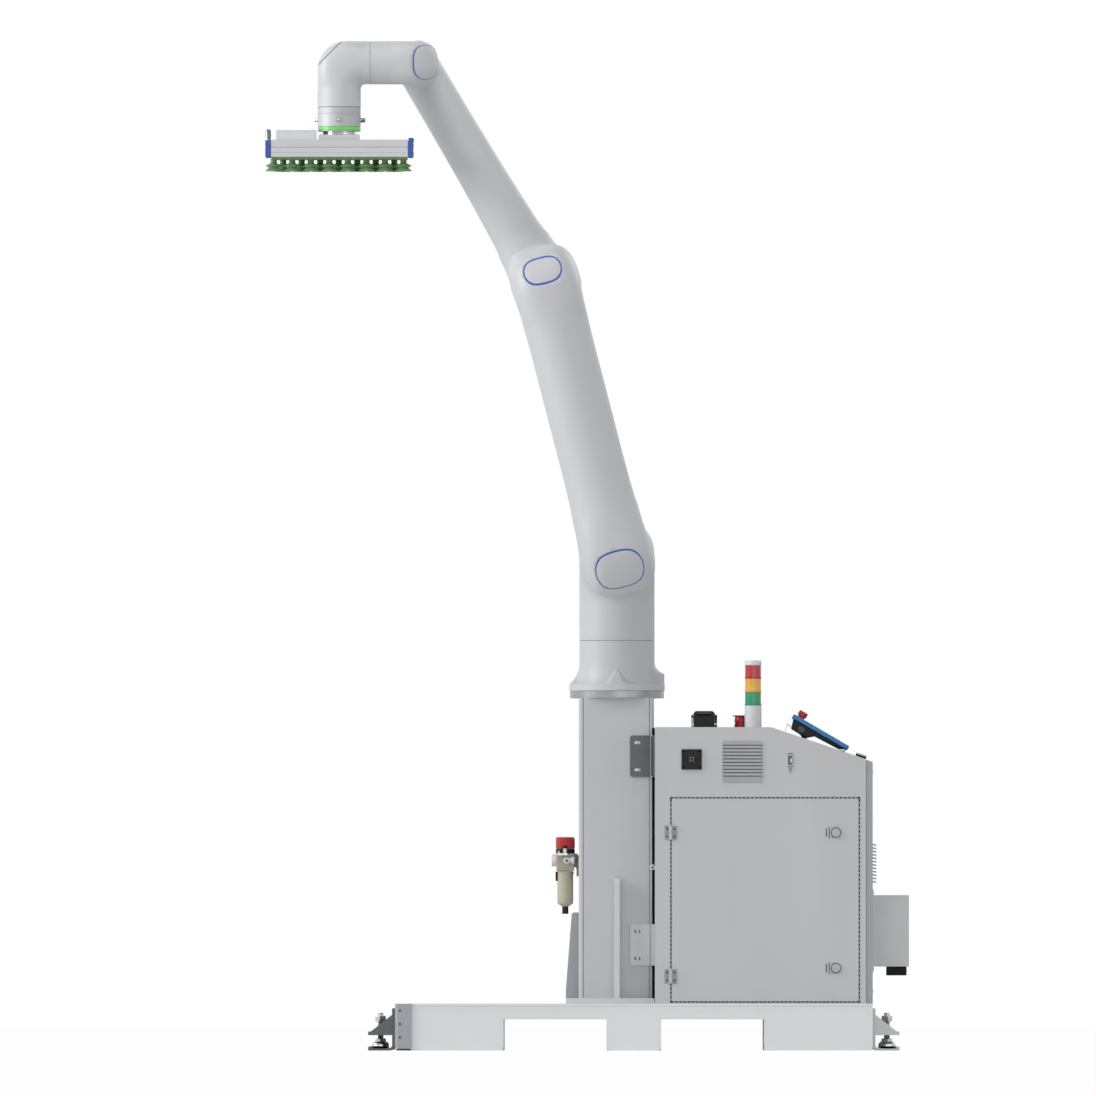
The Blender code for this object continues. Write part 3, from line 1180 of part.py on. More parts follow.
def main():
    start()
    base_frame()
    column()
    shell = cabinet_shell()
    cabinet_back()
    door(shell)
    cabinet_inside()
    vents()
    electrical()
    signals()
    pendant()
    air_unit()
    robot_base()
    j6 = arm()
    gripper(j6, tool_end(j6))
    bpy.context.view_layer.update()


main()
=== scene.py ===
"""The look of the palletizing robot: finishes, smooth arm castings, small fittings, studio."""
import json
import math

import bmesh
import bpy
from mathutils import Matrix, Vector


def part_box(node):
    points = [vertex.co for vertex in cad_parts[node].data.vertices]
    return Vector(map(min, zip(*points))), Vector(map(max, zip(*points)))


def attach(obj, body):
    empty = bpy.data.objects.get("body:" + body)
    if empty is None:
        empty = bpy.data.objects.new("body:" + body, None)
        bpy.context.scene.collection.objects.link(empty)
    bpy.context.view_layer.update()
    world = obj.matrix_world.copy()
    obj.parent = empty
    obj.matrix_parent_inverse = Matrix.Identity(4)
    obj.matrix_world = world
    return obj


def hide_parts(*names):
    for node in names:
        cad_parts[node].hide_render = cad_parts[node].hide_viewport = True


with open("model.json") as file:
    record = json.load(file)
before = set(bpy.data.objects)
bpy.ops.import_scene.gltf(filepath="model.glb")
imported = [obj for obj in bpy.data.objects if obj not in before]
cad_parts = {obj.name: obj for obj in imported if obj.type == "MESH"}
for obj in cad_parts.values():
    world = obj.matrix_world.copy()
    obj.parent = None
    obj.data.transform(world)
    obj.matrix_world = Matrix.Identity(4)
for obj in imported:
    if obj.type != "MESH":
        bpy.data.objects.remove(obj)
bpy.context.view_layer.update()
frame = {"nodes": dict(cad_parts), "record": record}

UP = Vector((0, 0, 1))
X = Vector((1, 0, 0))
Y = Vector((0, 1, 0))
COLUMN_HALF = 0.10375       # half the width of the column's square tube
COLUMN_LEFT_MORE = 0.0034   # its left wall stands this much further out
BASE_MIDDLE, BASE_HALF, BASE_SIDE = 0.047, 0.667, 0.4053
CLIP_X, CLIP_LEVEL = 0.0998, 0.5120     # the small clip on the column's front face
BOX_LEVEL = 0.3350                      # the middle of the rear junction box
BODY_OF = {}
for body_name, members in frame["record"]["behaviour"]["bodies"].items():
    for member in members:
        BODY_OF[member] = body_name


# ---- finishes -------------------------------------------------------------

def tint(red, green, blue):
    """A colour as seen, in 0 to 255, as the shader's linear value."""
    values = []
    for part in (red, green, blue):
        part /= 255
        values.append(part / 12.92 if part <= 0.04045 else ((part + 0.055) / 1.055) ** 2.4)
    return (*values, 1)


class Finish:
    """A Principled material, and short calls that add nodes to it."""

    def __init__(self, name, colour, rough, metal=0.0, **fixed):
        self.mat = bpy.data.materials.new(name)
        self.mat.use_nodes = True
        self.tree = self.mat.node_tree
        self.shader = self.tree.nodes["Principled BSDF"]
        self.colour = colour
        self.shader.inputs["Base Color"].default_value = colour
        self.shader.inputs["Roughness"].default_value = rough
        self.shader.inputs["Metallic"].default_value = metal
        for key, value in fixed.items():
            self.shader.inputs[key.replace("_", " ")].default_value = value
        self.mat.diffuse_color = colour
        self.coords = self.add("ShaderNodeTexCoord")
        self.bumps = None

    def add(self, kind, **values):
        node = self.tree.nodes.new(kind)
        for key, value in values.items():
            if key in node.inputs:
                node.inputs[key].default_value = value
            else:
                setattr(node, key, value)
        return node

    def link(self, a, b):
        self.tree.links.new(a, b)

    def noise(self, scale, detail=3.0, stretch=(1, 1, 1)):
        """Noise in the object's own metres, drawn out along an axis where asked."""
        place = self.add("ShaderNodeMapping")
        place.inputs["Scale"].default_value = stretch
        self.link(self.coords.outputs["Object"], place.inputs["Vector"])
        node = self.add("ShaderNodeTexNoise")
        node.inputs["Scale"].default_value = scale
        node.inputs["Detail"].default_value = detail
        self.link(place.outputs["Vector"], node.inputs["Vector"])
        return node.outputs["Fac"]

    def remap(self, value, low, high, start=0.3, end=0.7):
        node = self.add("ShaderNodeMapRange")
        node.inputs["From Min"].default_value = start
        node.inputs["From Max"].default_value = end
        node.inputs["To Min"].default_value = low
        node.inputs["To Max"].default_value = high
        self.link(value, node.inputs["Value"])
        return node.outputs["Result"]

    def clouds(self, scale, darker, stretch=(1, 1, 1)):
        """Slow changes of shade, as in real paint or metal."""
        mix = self.add("ShaderNodeMix", data_type="RGBA")
        mix.inputs["A"].default_value = tuple(c * darker for c in self.colour[:3]) + (1,)
        for socket in mix.inputs:
            if socket.type == "RGBA" and socket.name == "A":
                socket.default_value = tuple(c * darker for c in self.colour[:3]) + (1,)
            if socket.type == "RGBA" and socket.name == "B":
                socket.default_value = self.colour
        self.link(self.remap(self.noise(scale, 4.0, stretch), 0.0, 1.0), mix.inputs["Factor"])
        out = [s for s in mix.outputs if s.type == "RGBA"][0]
        self.link(out, self.shader.inputs["Base Color"])
        self.last_colour = out
        return self

    def gloss(self, scale, low, high, stretch=(1, 1, 1)):
        self.link(self.remap(self.noise(scale, 3.0, stretch), low, high), self.shader.inputs["Roughness"])
        return self

    def grain(self, scale, depth, stretch=(1, 1, 1), detail=2.0):
        """A fine relief."""
        bump = self.add("ShaderNodeBump")
        bump.inputs["Strength"].default_value = 1.0
        bump.inputs["Distance"].default_value = depth
        self.link(self.noise(scale, detail, stretch), bump.inputs["Height"])
        if self.bumps:
            self.link(self.bumps, bump.inputs["Normal"])
        self.link(bump.outputs["Normal"], self.shader.inputs["Normal"])
        self.bumps = bump.outputs["Normal"]
        return self


ARM_PAINT = Finish("arm_paint", tint(196, 197, 199), 0.46, Specular_IOR_Level=0.4)
ARM_PAINT.clouds(2.2, 0.97).gloss(30, 0.42, 0.50).grain(900, 0.00002)
CAP_SHELL = Finish("cap_shell", tint(195, 196, 198), 0.42, Specular_IOR_Level=0.4)
CAP_SHELL.clouds(6, 0.97).gloss(40, 0.38, 0.45).grain(1400, 0.00001)
TRIM_BLUE = Finish("trim_blue", tint(45, 88, 170), 0.35).clouds(60, 0.9).grain(1500, 0.00001)
FRAME_PAINT = Finish("frame_powder_coat", tint(226, 227, 228), 0.50)
FRAME_PAINT.clouds(1.6, 0.965).gloss(25, 0.44, 0.54).grain(1100, 0.00006)
END_PAINT = Finish("end_powder_coat", tint(164, 165, 170), 0.45, Metallic=0.15)
END_PAINT.clouds(2.5, 0.93).gloss(25, 0.40, 0.52).grain(1100, 0.00006)
SHEET_PAINT = Finish("cabinet_paint", tint(186, 187, 188), 0.44, Metallic=0.15)
SHEET_PAINT.clouds(1.8, 0.96).gloss(14, 0.38, 0.47, (1, 1, 0.15)).grain(1300, 0.00005)
DARK_PLATE = Finish("dark_plate", tint(96, 97, 100), 0.46, 0.25).clouds(9, 0.88).gloss(60, 0.34, 0.46)
DARK_PLATE.grain(900, 0.00004)
COLUMN_PAINT = Finish("column_paint", tint(190, 191, 193), 0.46, Metallic=0.1)
COLUMN_PAINT.clouds(1.8, 0.965).gloss(20, 0.42, 0.52).grain(1100, 0.00005)
RIB_PAINT = Finish("rib_paint", tint(208, 209, 210), 0.46).clouds(3, 0.965).gloss(20, 0.42, 0.52)
RIB_PAINT.grain(1100, 0.00005)
FLANGE_METAL = Finish("machined_flange", tint(162, 163, 166), 0.34, 0.5).clouds(14, 0.95)
FLANGE_METAL.gloss(30, 0.26, 0.34)
STEEL = Finish("turned_steel", tint(196, 197, 200), 0.26, 1.0).clouds(30, 0.9).gloss(260, 0.20, 0.34)
STEEL.grain(500, 0.00002, (1, 1, 14))
ZINC = Finish("zinc_plate", tint(186, 188, 190), 0.32, 0.9).clouds(90, 0.84).gloss(120, 0.26, 0.42)
ZINC.grain(700, 0.00003)
TOOL_METAL = Finish("turned_aluminium", tint(180, 181, 184), 0.44, 0.3, Anisotropic=0.5)
TOOL_METAL.clouds(20, 0.96).gloss(40, 0.50, 0.58)
RAIL_METAL = Finish("anodised_rail", tint(204, 205, 208), 0.42, 0.35, Anisotropic=0.3)
RAIL_METAL.clouds(5, 0.965).gloss(10, 0.32, 0.42, (0.2, 12, 12)).grain(22, 0.00001, (0.2, 40, 40))
BLACK = Finish("black_plastic", tint(15, 15, 16), 0.50,
               Specular_IOR_Level=0.28).clouds(60, 0.8).gloss(80, 0.42, 0.55)
BLACK.grain(1500, 0.00006)
DARK_RUBBER = Finish("black_rubber", tint(9, 9, 9), 0.80,
                     Specular_IOR_Level=0.1).clouds(40, 0.75).grain(900, 0.00008)
RED = Finish("signal_red", tint(176, 26, 32), 0.36, Coat_Weight=0.12, Coat_Roughness=0.2)
RED.clouds(50, 0.88).gloss(60, 0.28, 0.38).grain(1600, 0.00003)
BLUE = Finish("pendant_blue", tint(52, 120, 186), 0.40).clouds(30, 0.92).gloss(60, 0.34, 0.46)
BLUE.grain(1500, 0.00005)
CAP_BLUE = Finish("end_cap_blue", tint(56, 88, 168), 0.42).clouds(40, 0.9).grain(1400, 0.00006)
HINGE_METAL = Finish("hinge_metal", tint(140, 141, 143), 0.42, 0.4).clouds(60, 0.85).grain(900, 0.00004)
GLOSS_BLACK = Finish("glossy_black", tint(10, 10, 11), 0.22, Coat_Weight=0.4,
                     Coat_Roughness=0.12).clouds(60, 0.8)
GLOSS_BLACK.gloss(60, 0.18, 0.28)
LOCK_METAL = Finish("lock_metal", tint(184, 185, 187), 0.44, 0.2).clouds(60, 0.92).grain(1200, 0.00003)
HOLDER_SHEET = Finish("holder_sheet", tint(206, 207, 209), 0.26).clouds(30, 0.95).gloss(40, 0.20, 0.32)
BRIGHT_ZINC = Finish("bright_zinc", tint(228, 228, 230), 0.40, 0.25).clouds(90, 0.93).grain(700, 0.00002)
CHROME = Finish("chrome", tint(128, 129, 132), 0.20, 1.0).clouds(60, 0.85).gloss(120, 0.14, 0.26)
BUTTON_GREEN = Finish("button_green", tint(150, 204, 150), 0.40).clouds(60, 0.93).grain(1200, 0.00002)
BOWL_BEIGE = Finish("bowl_beige", tint(184, 176, 154), 0.50).clouds(35, 0.92).grain(700, 0.00008)
DARK_METAL = Finish("dark_metal", tint(92, 93, 96), 0.34, 0.8).clouds(60, 0.8).grain(900, 0.00004)
GRILLE_PAINT = Finish("grille_paint", tint(164, 165, 168), 0.45).clouds(12, 0.94).grain(1200, 0.00005)
GREY_PLASTIC = Finish("grey_plastic", tint(128, 130, 133), 0.46).clouds(30, 0.92).grain(1300, 0.00006)
KNOB_PLASTIC = Finish("knob_plastic", tint(58, 62, 68), 0.32).clouds(60, 0.85).grain(1300, 0.00004)
BEIGE_DARK = Finish("bracket_beige", tint(128, 120, 100), 0.48, 0.2).clouds(35, 0.9).grain(700, 0.00008)
ELBOW_WHITE = Finish("elbow_plastic", tint(206, 207, 214), 0.34).clouds(50, 0.95).grain(1200, 0.00003)
BEIGE = Finish("cast_beige", tint(172, 164, 142), 0.50).clouds(35, 0.9).gloss(60, 0.44, 0.58)
BEIGE.grain(700, 0.00010)
PALE = Finish("pale_plastic", tint(216, 217, 218), 0.44).clouds(40, 0.95).grain(1500, 0.00004)
GLASS_BLACK = Finish("screen_glass", tint(16, 18, 22), 0.12, Coat_Weight=0.8, Coat_Roughness=0.05)
GLASS_BLACK.clouds(14, 0.8).gloss(50, 0.08, 0.16)
DIAL = Finish("dial_white", tint(232, 233, 233), 0.30).clouds(90, 0.95).grain(900, 0.00001)
SILICONE = Finish("green_silicone", tint(98, 142, 82), 0.50, Sheen_Weight=0.25, Sheen_Roughness=0.5)
SILICONE.clouds(70, 0.82).gloss(80, 0.44, 0.58).grain(1200, 0.00006)
RING_LIGHT = Finish("lit_ring", tint(84, 190, 78), 0.30, Emission_Strength=0.30)
RING_LIGHT.shader.inputs["Emission Color"].default_value = tint(96, 200, 74)
RING_LIGHT.clouds(60, 0.92)
LENSES = {}
for lens_name, lens_tint in (("red", (176, 40, 50)), ("amber", (222, 166, 62)), ("green", (34, 144, 100))):
    lens_finish = Finish("lens_" + lens_name, tint(*lens_tint), 0.26, Coat_Weight=0.3, Coat_Roughness=0.10)
    lens_finish.shader.inputs["Emission Color"].default_value = tint(*lens_tint)
    lens_finish.shader.inputs["Emission Strength"].default_value = 0.08
    LENSES[lens_name] = lens_finish.clouds(70, 0.9).gloss(90, 0.14, 0.26)


# ---- making pieces --------------------------------------------------------

def mesh_from(bm, name):
    """A mesh from a bmesh, which is freed."""
    mesh = bpy.data.meshes.new(name)
    bm.to_mesh(mesh)
    bm.free()
    return mesh


def put(name, bm, finish, body, smooth=40, replaces=()):
    """A finished piece from a bmesh, riding on a body."""
    return settle(name, mesh_from(bm, name), finish, body, smooth, replaces)


def settle(name, mesh, finish, body, smooth=40, replaces=()):
    """A finished piece from a mesh, riding on a body."""
    if smooth:
        mesh.shade_smooth()
        mesh.set_sharp_from_angle(angle=math.radians(smooth))
        if len(mesh.polygons) < 20000:
            mesh = even_shading(mesh)
    if finish is not None:
        mesh.materials.clear()
        mesh.materials.append(finish.mat)
    obj = linked(name, mesh)
    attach(obj, body)
    if replaces:
        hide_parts(*replaces)
    return obj


def evaluated(obj):
    """The mesh that an object's modifiers make."""
    depsgraph = bpy.context.evaluated_depsgraph_get()
    return bpy.data.meshes.new_from_object(obj.evaluated_get(depsgraph))


def linked(name, mesh):
    """An object for a mesh, in the scene."""
    obj = bpy.data.objects.new(name, mesh)
    bpy.context.scene.collection.objects.link(obj)
    return obj


def modified(mesh, kind, **values):
    """A mesh after one modifier."""
    obj = linked("modified", mesh)
    mod = obj.modifiers.new("step", kind)
    for key, value in values.items():
        setattr(mod, key, value)
    made = evaluated(obj)
    bpy.data.objects.remove(obj, do_unlink=True)
    return made


def even_shading(mesh):
    """Large flat faces stay flat to the eye beside rounded edges."""
    return modified(mesh, "WEIGHTED_NORMAL", mode="FACE_AREA", weight=50, keep_sharp=True)


def bevelled(mesh, width, segments=2, angle=35):
    """A mesh with its sharp edges rounded."""
    return modified(mesh, "BEVEL", width=width, segments=segments, limit_method="ANGLE",
                    angle_limit=math.radians(angle), harden_normals=False, use_clamp_overlap=True)


def dress(node, finish, width=0.001, segments=2):
    """A copy of a CAD node with rounded edges stands for it."""
    bm = bmesh.new()
    bm.from_mesh(frame["nodes"][node].data)
    bmesh.ops.remove_doubles(bm, verts=bm.verts, dist=0.00002)
    bmesh.ops.dissolve_limit(bm, angle_limit=math.radians(1.0), verts=bm.verts, edges=bm.edges)
    mesh = mesh_from(bm, node)
    if width:
        mesh = bevelled(mesh, width, segments)
    return settle(node + "_finished", mesh, finish, BODY_OF[node], 40, (node,))


def add_box(bm, low, high):
    low, high = Vector(low), Vector(high)
    made = bmesh.ops.create_cube(bm, size=1)
    bmesh.ops.scale(bm, vec=high - low, verts=made["verts"])
    bmesh.ops.translate(bm, vec=(low + high) / 2, verts=made["verts"])
    return made["verts"]


def add_rod(bm, radius, start, end, sides=24, radius_end=None):
    start, end = Vector(start), Vector(end)
    along = end - start
    turn = UP.rotation_difference(along).to_matrix().to_4x4()
    place = Matrix.Translation((start + end) / 2) @ turn
    made = bmesh.ops.create_cone(bm, cap_ends=True, segments=sides, radius1=radius,
                                 radius2=radius if radius_end is None else radius_end,
                                 depth=along.length, matrix=place)
    return made["verts"]


def skin(bm, rows):
    """Faces between neighbouring rings; a ring of one vertex is a tip."""
    faces = []
    for a, b in zip(rows, rows[1:]):
        if len(a) == 1 and len(b) == 1:
            continue
        sides = max(len(a), len(b))
        for k in range(sides):
            n = (k + 1) % sides
            if len(a) == 1:
                corners = (a[0], b[k], b[n])
            elif len(b) == 1:
                corners = (a[k], b[0], a[n])
            else:
                corners = (a[k], b[k], b[n], a[n])
            faces.append(bm.faces.new(corners))
    bmesh.ops.recalc_face_normals(bm, faces=faces)
    return faces


def add_turned(bm, profile, at, along=UP, sides=48):
    """A turned solid from radius and height pairs, both ends on the axis or closed."""
    turn = UP.rotation_difference(Vector(along)).to_matrix()
    at = Vector(at)
    rows = []
    for radius, height in profile:
        if radius < 0.00001:
            rows.append([bm.verts.new(at + turn @ Vector((0, 0, height)))])
            continue
        row = []
        for k in range(sides):
            angle = 2 * math.pi * k / sides
            row.append(bm.verts.new(at + turn @ Vector((radius * math.cos(angle), radius * math.sin(angle),
                                                        height))))
        rows.append(row)
    return skin(bm, rows)


def shaped(shapes):
    """A bmesh of simple solids, each a kind and that kind's values."""
    bm = bmesh.new()
    for kind, *values in shapes:
        {"box": add_box, "rod": add_rod, "turned": add_turned}[kind](bm, *values)
    return bm


def solid_piece(name, finish, body, shapes, bevel=0.0, replaces=(), segments=2, smooth=40):
    """One piece from several simple solids, with its edges rounded."""
    mesh = mesh_from(shaped(shapes), name)
    if bevel:
        mesh = bevelled(mesh, bevel, segments)
    return settle(name, mesh, finish, body, smooth, replaces)


# ---- arm castings ---------------------------------------------------------

SIDES = 96        # points round a casting's section
TURNS = 24        # steps round a casting's corner
CORNER = 1.34     # the outer bend of a corner, in tube radii
UPPER_WAY = Vector((-math.sin(math.radians(14.5)), 0, math.cos(math.radians(14.5))))
FORE_WAY = Vector((-math.sin(math.radians(30.6)), 0, math.cos(math.radians(30.6))))
SHOULDER = Vector((0, 0, 1.376))
ELBOW = SHOULDER + UPPER_WAY * 0.804
WRIST = ELBOW + FORE_WAY * 0.710
UPPER_Y, FORE_Y, WRIST_Y = -0.265, -0.038, -0.188
SEAM_1, SEAM_2, SEAM_3, SEAM_4 = 1.149, -0.130, -0.140, -0.113
JOINT_1 = Vector((0, 0, SEAM_1))
JOINT_2 = Vector((0, SEAM_2, SHOULDER.z))
JOINT_3 = Vector((ELBOW.x, SEAM_3, ELBOW.z))
JOINT_4 = Vector((WRIST.x, SEAM_4, WRIST.z))
JOINT_5 = Vector((WRIST.x - 0.128, WRIST_Y, WRIST.z))
JOINT_6 = Vector((WRIST.x - 0.215, WRIST_Y, WRIST.z - 0.1246))
# the cut for a corner cap: its tilt, and how far out from the corner's point it lies
BIG_CAP = (math.radians(30.3), 0.0702)
ELBOW_CAP = (math.radians(27.4), 0.0734)
FORE_CAP = (math.radians(30.0), 0.0600)
SMALL_CAP = (math.radians(45.0), 0.0356)
TRIM = 0.0021     # depth of the blue trim ring
SEAM = 0.0008     # the gap at a joint


def at_y(point, y):
    return Vector((point.x, y, point.z))


def section(centre, out, side, inner, outer, width, power):
    """One closed section: round on its inner side, fuller on its outer one."""
    points = []
    for k in range(SIDES):
        a = 2 * math.pi * k / SIDES
        c, s = math.cos(a), math.sin(a)
        if c > 0.000001:
            x = c ** (2 / power) * outer
            y = math.copysign(abs(s) ** (2 / power), s) * width
        else:
            x, y = c * inner, s * width
        points.append(centre + out * x + side * y)
    return points


def circle(centre, out, side, radius):
    return section(centre, out, side, radius, radius, radius, 2)


def outer_reach(angle, ra, rb, fillet):
    """How far the corner's outer wall is from the fillet's centre, in one direction."""
    s, c = math.sin(angle), math.cos(angle)
    bend = CORNER * (ra + rb) / 2
    from_a, from_b = rb + fillet, ra + fillet
    arc_a, arc_b = bend - rb, bend - ra
    if c > 0.001 and from_a - (2 * ra + fillet) / c * s >= arc_a:
        return (2 * ra + fillet) / c
    if s > 0.001 and from_b - (2 * rb + fillet) / s * c >= arc_b:
        return (2 * rb + fillet) / s
    da, db = from_a - arc_a, from_b - arc_b
    along = da * s + db * c
    return along + math.sqrt(along * along - da * da - db * db + bend * bend)


def corner_sections(at, u, v, side, ra, rb, fillet):
    """Sections round a square corner, from the tube along u to the tube along v."""
    rings = []
    for i in range(TURNS + 1):
        angle = math.pi / 2 * i / TURNS
        s, c = math.sin(angle), math.cos(angle)
        width = ra + (rb - ra) * (1 - math.cos(2 * angle)) / 2
        inset = fillet + width
        outer = outer_reach(angle, ra, rb, fillet) - inset
        centre = at + u * (rb + fillet - s * inset) + v * (ra + fillet - c * inset)
        rings.append(section(centre, -(u * s + v * c), side, width, outer, width,
                             2 + 1.2 * math.sin(2 * angle)))
    return rings


def tube_end(at, u, v, side, reach, radius):
    """The end of a housing at a joint: a square rim with its edge just broken."""
    return [circle(at + u * reach, -v, side, radius - 0.0009),
            circle(at + u * (reach - 0.0009), -v, side, radius)]


def shaft_sections(first, v, u, side, length, keys):
    """The tapering shaft between two corners, with radii flowing through the key places."""
    rings = []
    for i in range(1, 24):
        t = i / 24
        share = keys[0][0] + (keys[-1][0] - keys[0][0]) * t
        k = max(j for j in range(len(keys) - 1) if keys[j][0] <= share + 1e-9)
        (a, ra), (b, rb) = keys[k], keys[k + 1]
        before = keys[k - 1] if k else keys[k]
        after = keys[k + 2] if k + 2 < len(keys) else keys[k + 1]
        slope_a = (rb - before[1]) / (b - before[0])
        slope_b = (after[1] - ra) / (after[0] - a)
        h, f = b - a, (share - a) / (b - a)
        radius = ((2 * f ** 3 - 3 * f ** 2 + 1) * ra + (f ** 3 - 2 * f ** 2 + f) * h * slope_a
                  + (3 * f ** 2 - 2 * f ** 3) * rb + (f ** 3 - f ** 2) * h * slope_b)
        rings.append(circle(first + v * (length * share), -u, side, radius))
    return rings


def one_corner(at, u, v, reach_u, reach_v, radius, fillet):
    side = u.cross(v)
    return (tube_end(at, u, v, side, reach_u, radius)
            + corner_sections(at, u, v, side, radius, radius, fillet)
            + tube_end(at, v, u, side, reach_v, radius)[::-1])


def two_corners(first, second, u, reaches, radii_1, radii_2, fillets, keys):
    v = (second - first).normalized()
    side = u.cross(v)
    length = (second - first).length
    start = (radii_1[0] + fillets[0]) / length
    stop = 1 - (radii_2[0] + fillets[1]) / length
    keys = [(start, radii_1[1])] + keys + [(stop, radii_2[1])]
    rings = tube_end(first, u, v, side, reaches[0], radii_1[0])
    rings += corner_sections(first, u, v, side, *radii_1, fillets[0])
    rings += shaft_sections(first, v, u, side, length, keys)
    rings += corner_sections(second, u, -v, side, *radii_2, fillets[1])[::-1]
    return rings + tube_end(second, u, -v, side, reaches[1], radii_2[0])[::-1]


def lofted(rings):
    bm = bmesh.new()
    rows = [[bm.verts.new(p) for p in points] for points in rings]
    for a, b in zip(rows, rows[1:]):
        for k in range(SIDES):
            n = (k + 1) % SIDES
            bm.faces.new((a[k], a[n], b[n], b[k]))
    bm.faces.new(rows[0])
    bm.faces.new(rows[-1])
    bmesh.ops.recalc_face_normals(bm, faces=bm.faces)
    return bm


def keep_side(bm, point, normal, beyond):
    """Keep one side of a plane and close the cut."""
    cut = bmesh.ops.bisect_plane(bm, geom=bm.verts[:] + bm.edges[:] + bm.faces[:], dist=0.000001,
                                 plane_co=point, plane_no=normal, clear_outer=not beyond,
                                 clear_inner=beyond)
    edges = [g for g in cut["geom_cut"] if isinstance(g, bmesh.types.BMEdge) and g.is_boundary]
    bmesh.ops.edgeloop_fill(bm, edges=edges)
    bmesh.ops.recalc_face_normals(bm, faces=bm.faces)


def housing(node, rings, corners, shell=ARM_PAINT, bevel=0.0008):
    """An arm housing, its corner caps, and the blue trim between them."""
    body = BODY_OF[node]
    names = ("_lower_cap", "_upper_cap") if len(corners) > 1 else ("_cap",)
    bm = lofted(rings)
    for at, u, v, (tilt, depth) in corners:
        out = -(u * math.cos(tilt) + v * math.sin(tilt))
        keep_side(bm, at + out * depth, out, False)
    settle(node + "_casting", bevelled(mesh_from(bm, node), bevel, 2, 50), shell, body, 40, (node,))
    for (at, u, v, (tilt, depth)), ending in zip(corners, names):
        out = -(u * math.cos(tilt) + v * math.sin(tilt))
        for part, low, high, finish, swaps in (
            ("_trim", 0.0003, TRIM, TRIM_BLUE, ()),
            ("_shell", TRIM + 0.0002, None, CAP_SHELL, (node + ending,)),
        ):
            bm = lofted(rings)
            keep_side(bm, at + out * (depth + low), out, True)
            if high:
                keep_side(bm, at + out * (depth + high), out, False)
            width = 0.0010 if part == "_shell" else 0.0005
            name = node + ending + part
            settle(name, bevelled(mesh_from(bm, name), width, 3, 50), finish, body, 40, swaps)


def joint_seal(name, centre, along, radius, body):
    """The dark seal seen in the seam between two housings."""
    bm = bmesh.new()
    half = Vector(along) * (SEAM / 2 - 0.0001)
    add_rod(bm, radius - 0.0016, centre - half, centre + half, SIDES)
    put(name, bm, DARK_RUBBER, body)


def build_arm():
    half = SEAM / 2
    rings = one_corner(SHOULDER, -UP, -Y, SHOULDER.z - SEAM_1 - half, -SEAM_2 - half, 0.1055, 0.020)
    housing("shoulder", rings, [(SHOULDER, -UP, -Y, BIG_CAP)])
    first, second = at_y(SHOULDER, UPPER_Y), at_y(ELBOW, UPPER_Y)
    rings = two_corners(first, second, Y, (SEAM_2 - UPPER_Y - half, SEAM_3 - UPPER_Y - half),
                        (0.105, 0.0945), (0.0980, 0.0910), (0.020, 0.020),
                        [(0.21, 0.0912), (0.31, 0.0895), (0.55, 0.0895), (0.79, 0.0895)])
    housing("upper_arm", rings, [(first, Y, UPPER_WAY, BIG_CAP), (second, Y, -UPPER_WAY, ELBOW_CAP)])
    first, second = at_y(ELBOW, FORE_Y), at_y(WRIST, FORE_Y)
    rings = two_corners(first, second, -Y, (FORE_Y - SEAM_3 - half, FORE_Y - SEAM_4 - half),
                        (0.097, 0.0775), (0.0615, 0.0615), (0.018, 0.010),
                        [(0.205, 0.0715), (0.28, 0.0690), (0.45, 0.0650), (0.70, 0.0622)])
    housing("forearm", rings, [(first, -Y, FORE_WAY, FORE_CAP), (second, -Y, -FORE_WAY, SMALL_CAP)])
    at = at_y(WRIST, WRIST_Y)
    rings = one_corner(at, Y, -X, SEAM_4 - WRIST_Y - half, 0.128 - half, 0.0605, 0.0115)
    housing("wrist_1", rings, [(at, Y, -X, SMALL_CAP)])
    at = Vector((JOINT_6.x, WRIST_Y, WRIST.z))
    rings = one_corner(at, X, -UP, 0.215 - 0.128 - half, 0.1246 - half, 0.0605, 0.0115)
    housing("wrist_2", rings, [(at, X, -UP, SMALL_CAP)])
    joint_seal("joint_1_seal", JOINT_1, UP, 0.1055, "base")
    joint_seal("joint_2_seal", JOINT_2, Y, 0.1050, "shoulder_link")
    joint_seal("joint_3_seal", JOINT_3, Y, 0.0970, "upper_arm_link")
    joint_seal("joint_4_seal", JOINT_4, Y, 0.0605, "forearm_link")
    joint_seal("joint_5_seal", JOINT_5, X, 0.0605, "wrist_1_link")
    joint_seal("joint_6_seal", JOINT_6, UP, 0.0600, "wrist_2_link")


build_arm()


# ---- repeats, by geometry nodes -------------------------------------------

def new_tree(name, inputs):
    tree = bpy.data.node_groups.new(name, "GeometryNodeTree")
    for label, kind in inputs:
        tree.interface.new_socket(label, in_out="INPUT", socket_type=kind)
    tree.interface.new_socket("Geometry", in_out="OUTPUT", socket_type="NodeSocketGeometry")
    return tree, tree.nodes.new("NodeGroupInput"), tree.nodes.new("NodeGroupOutput")


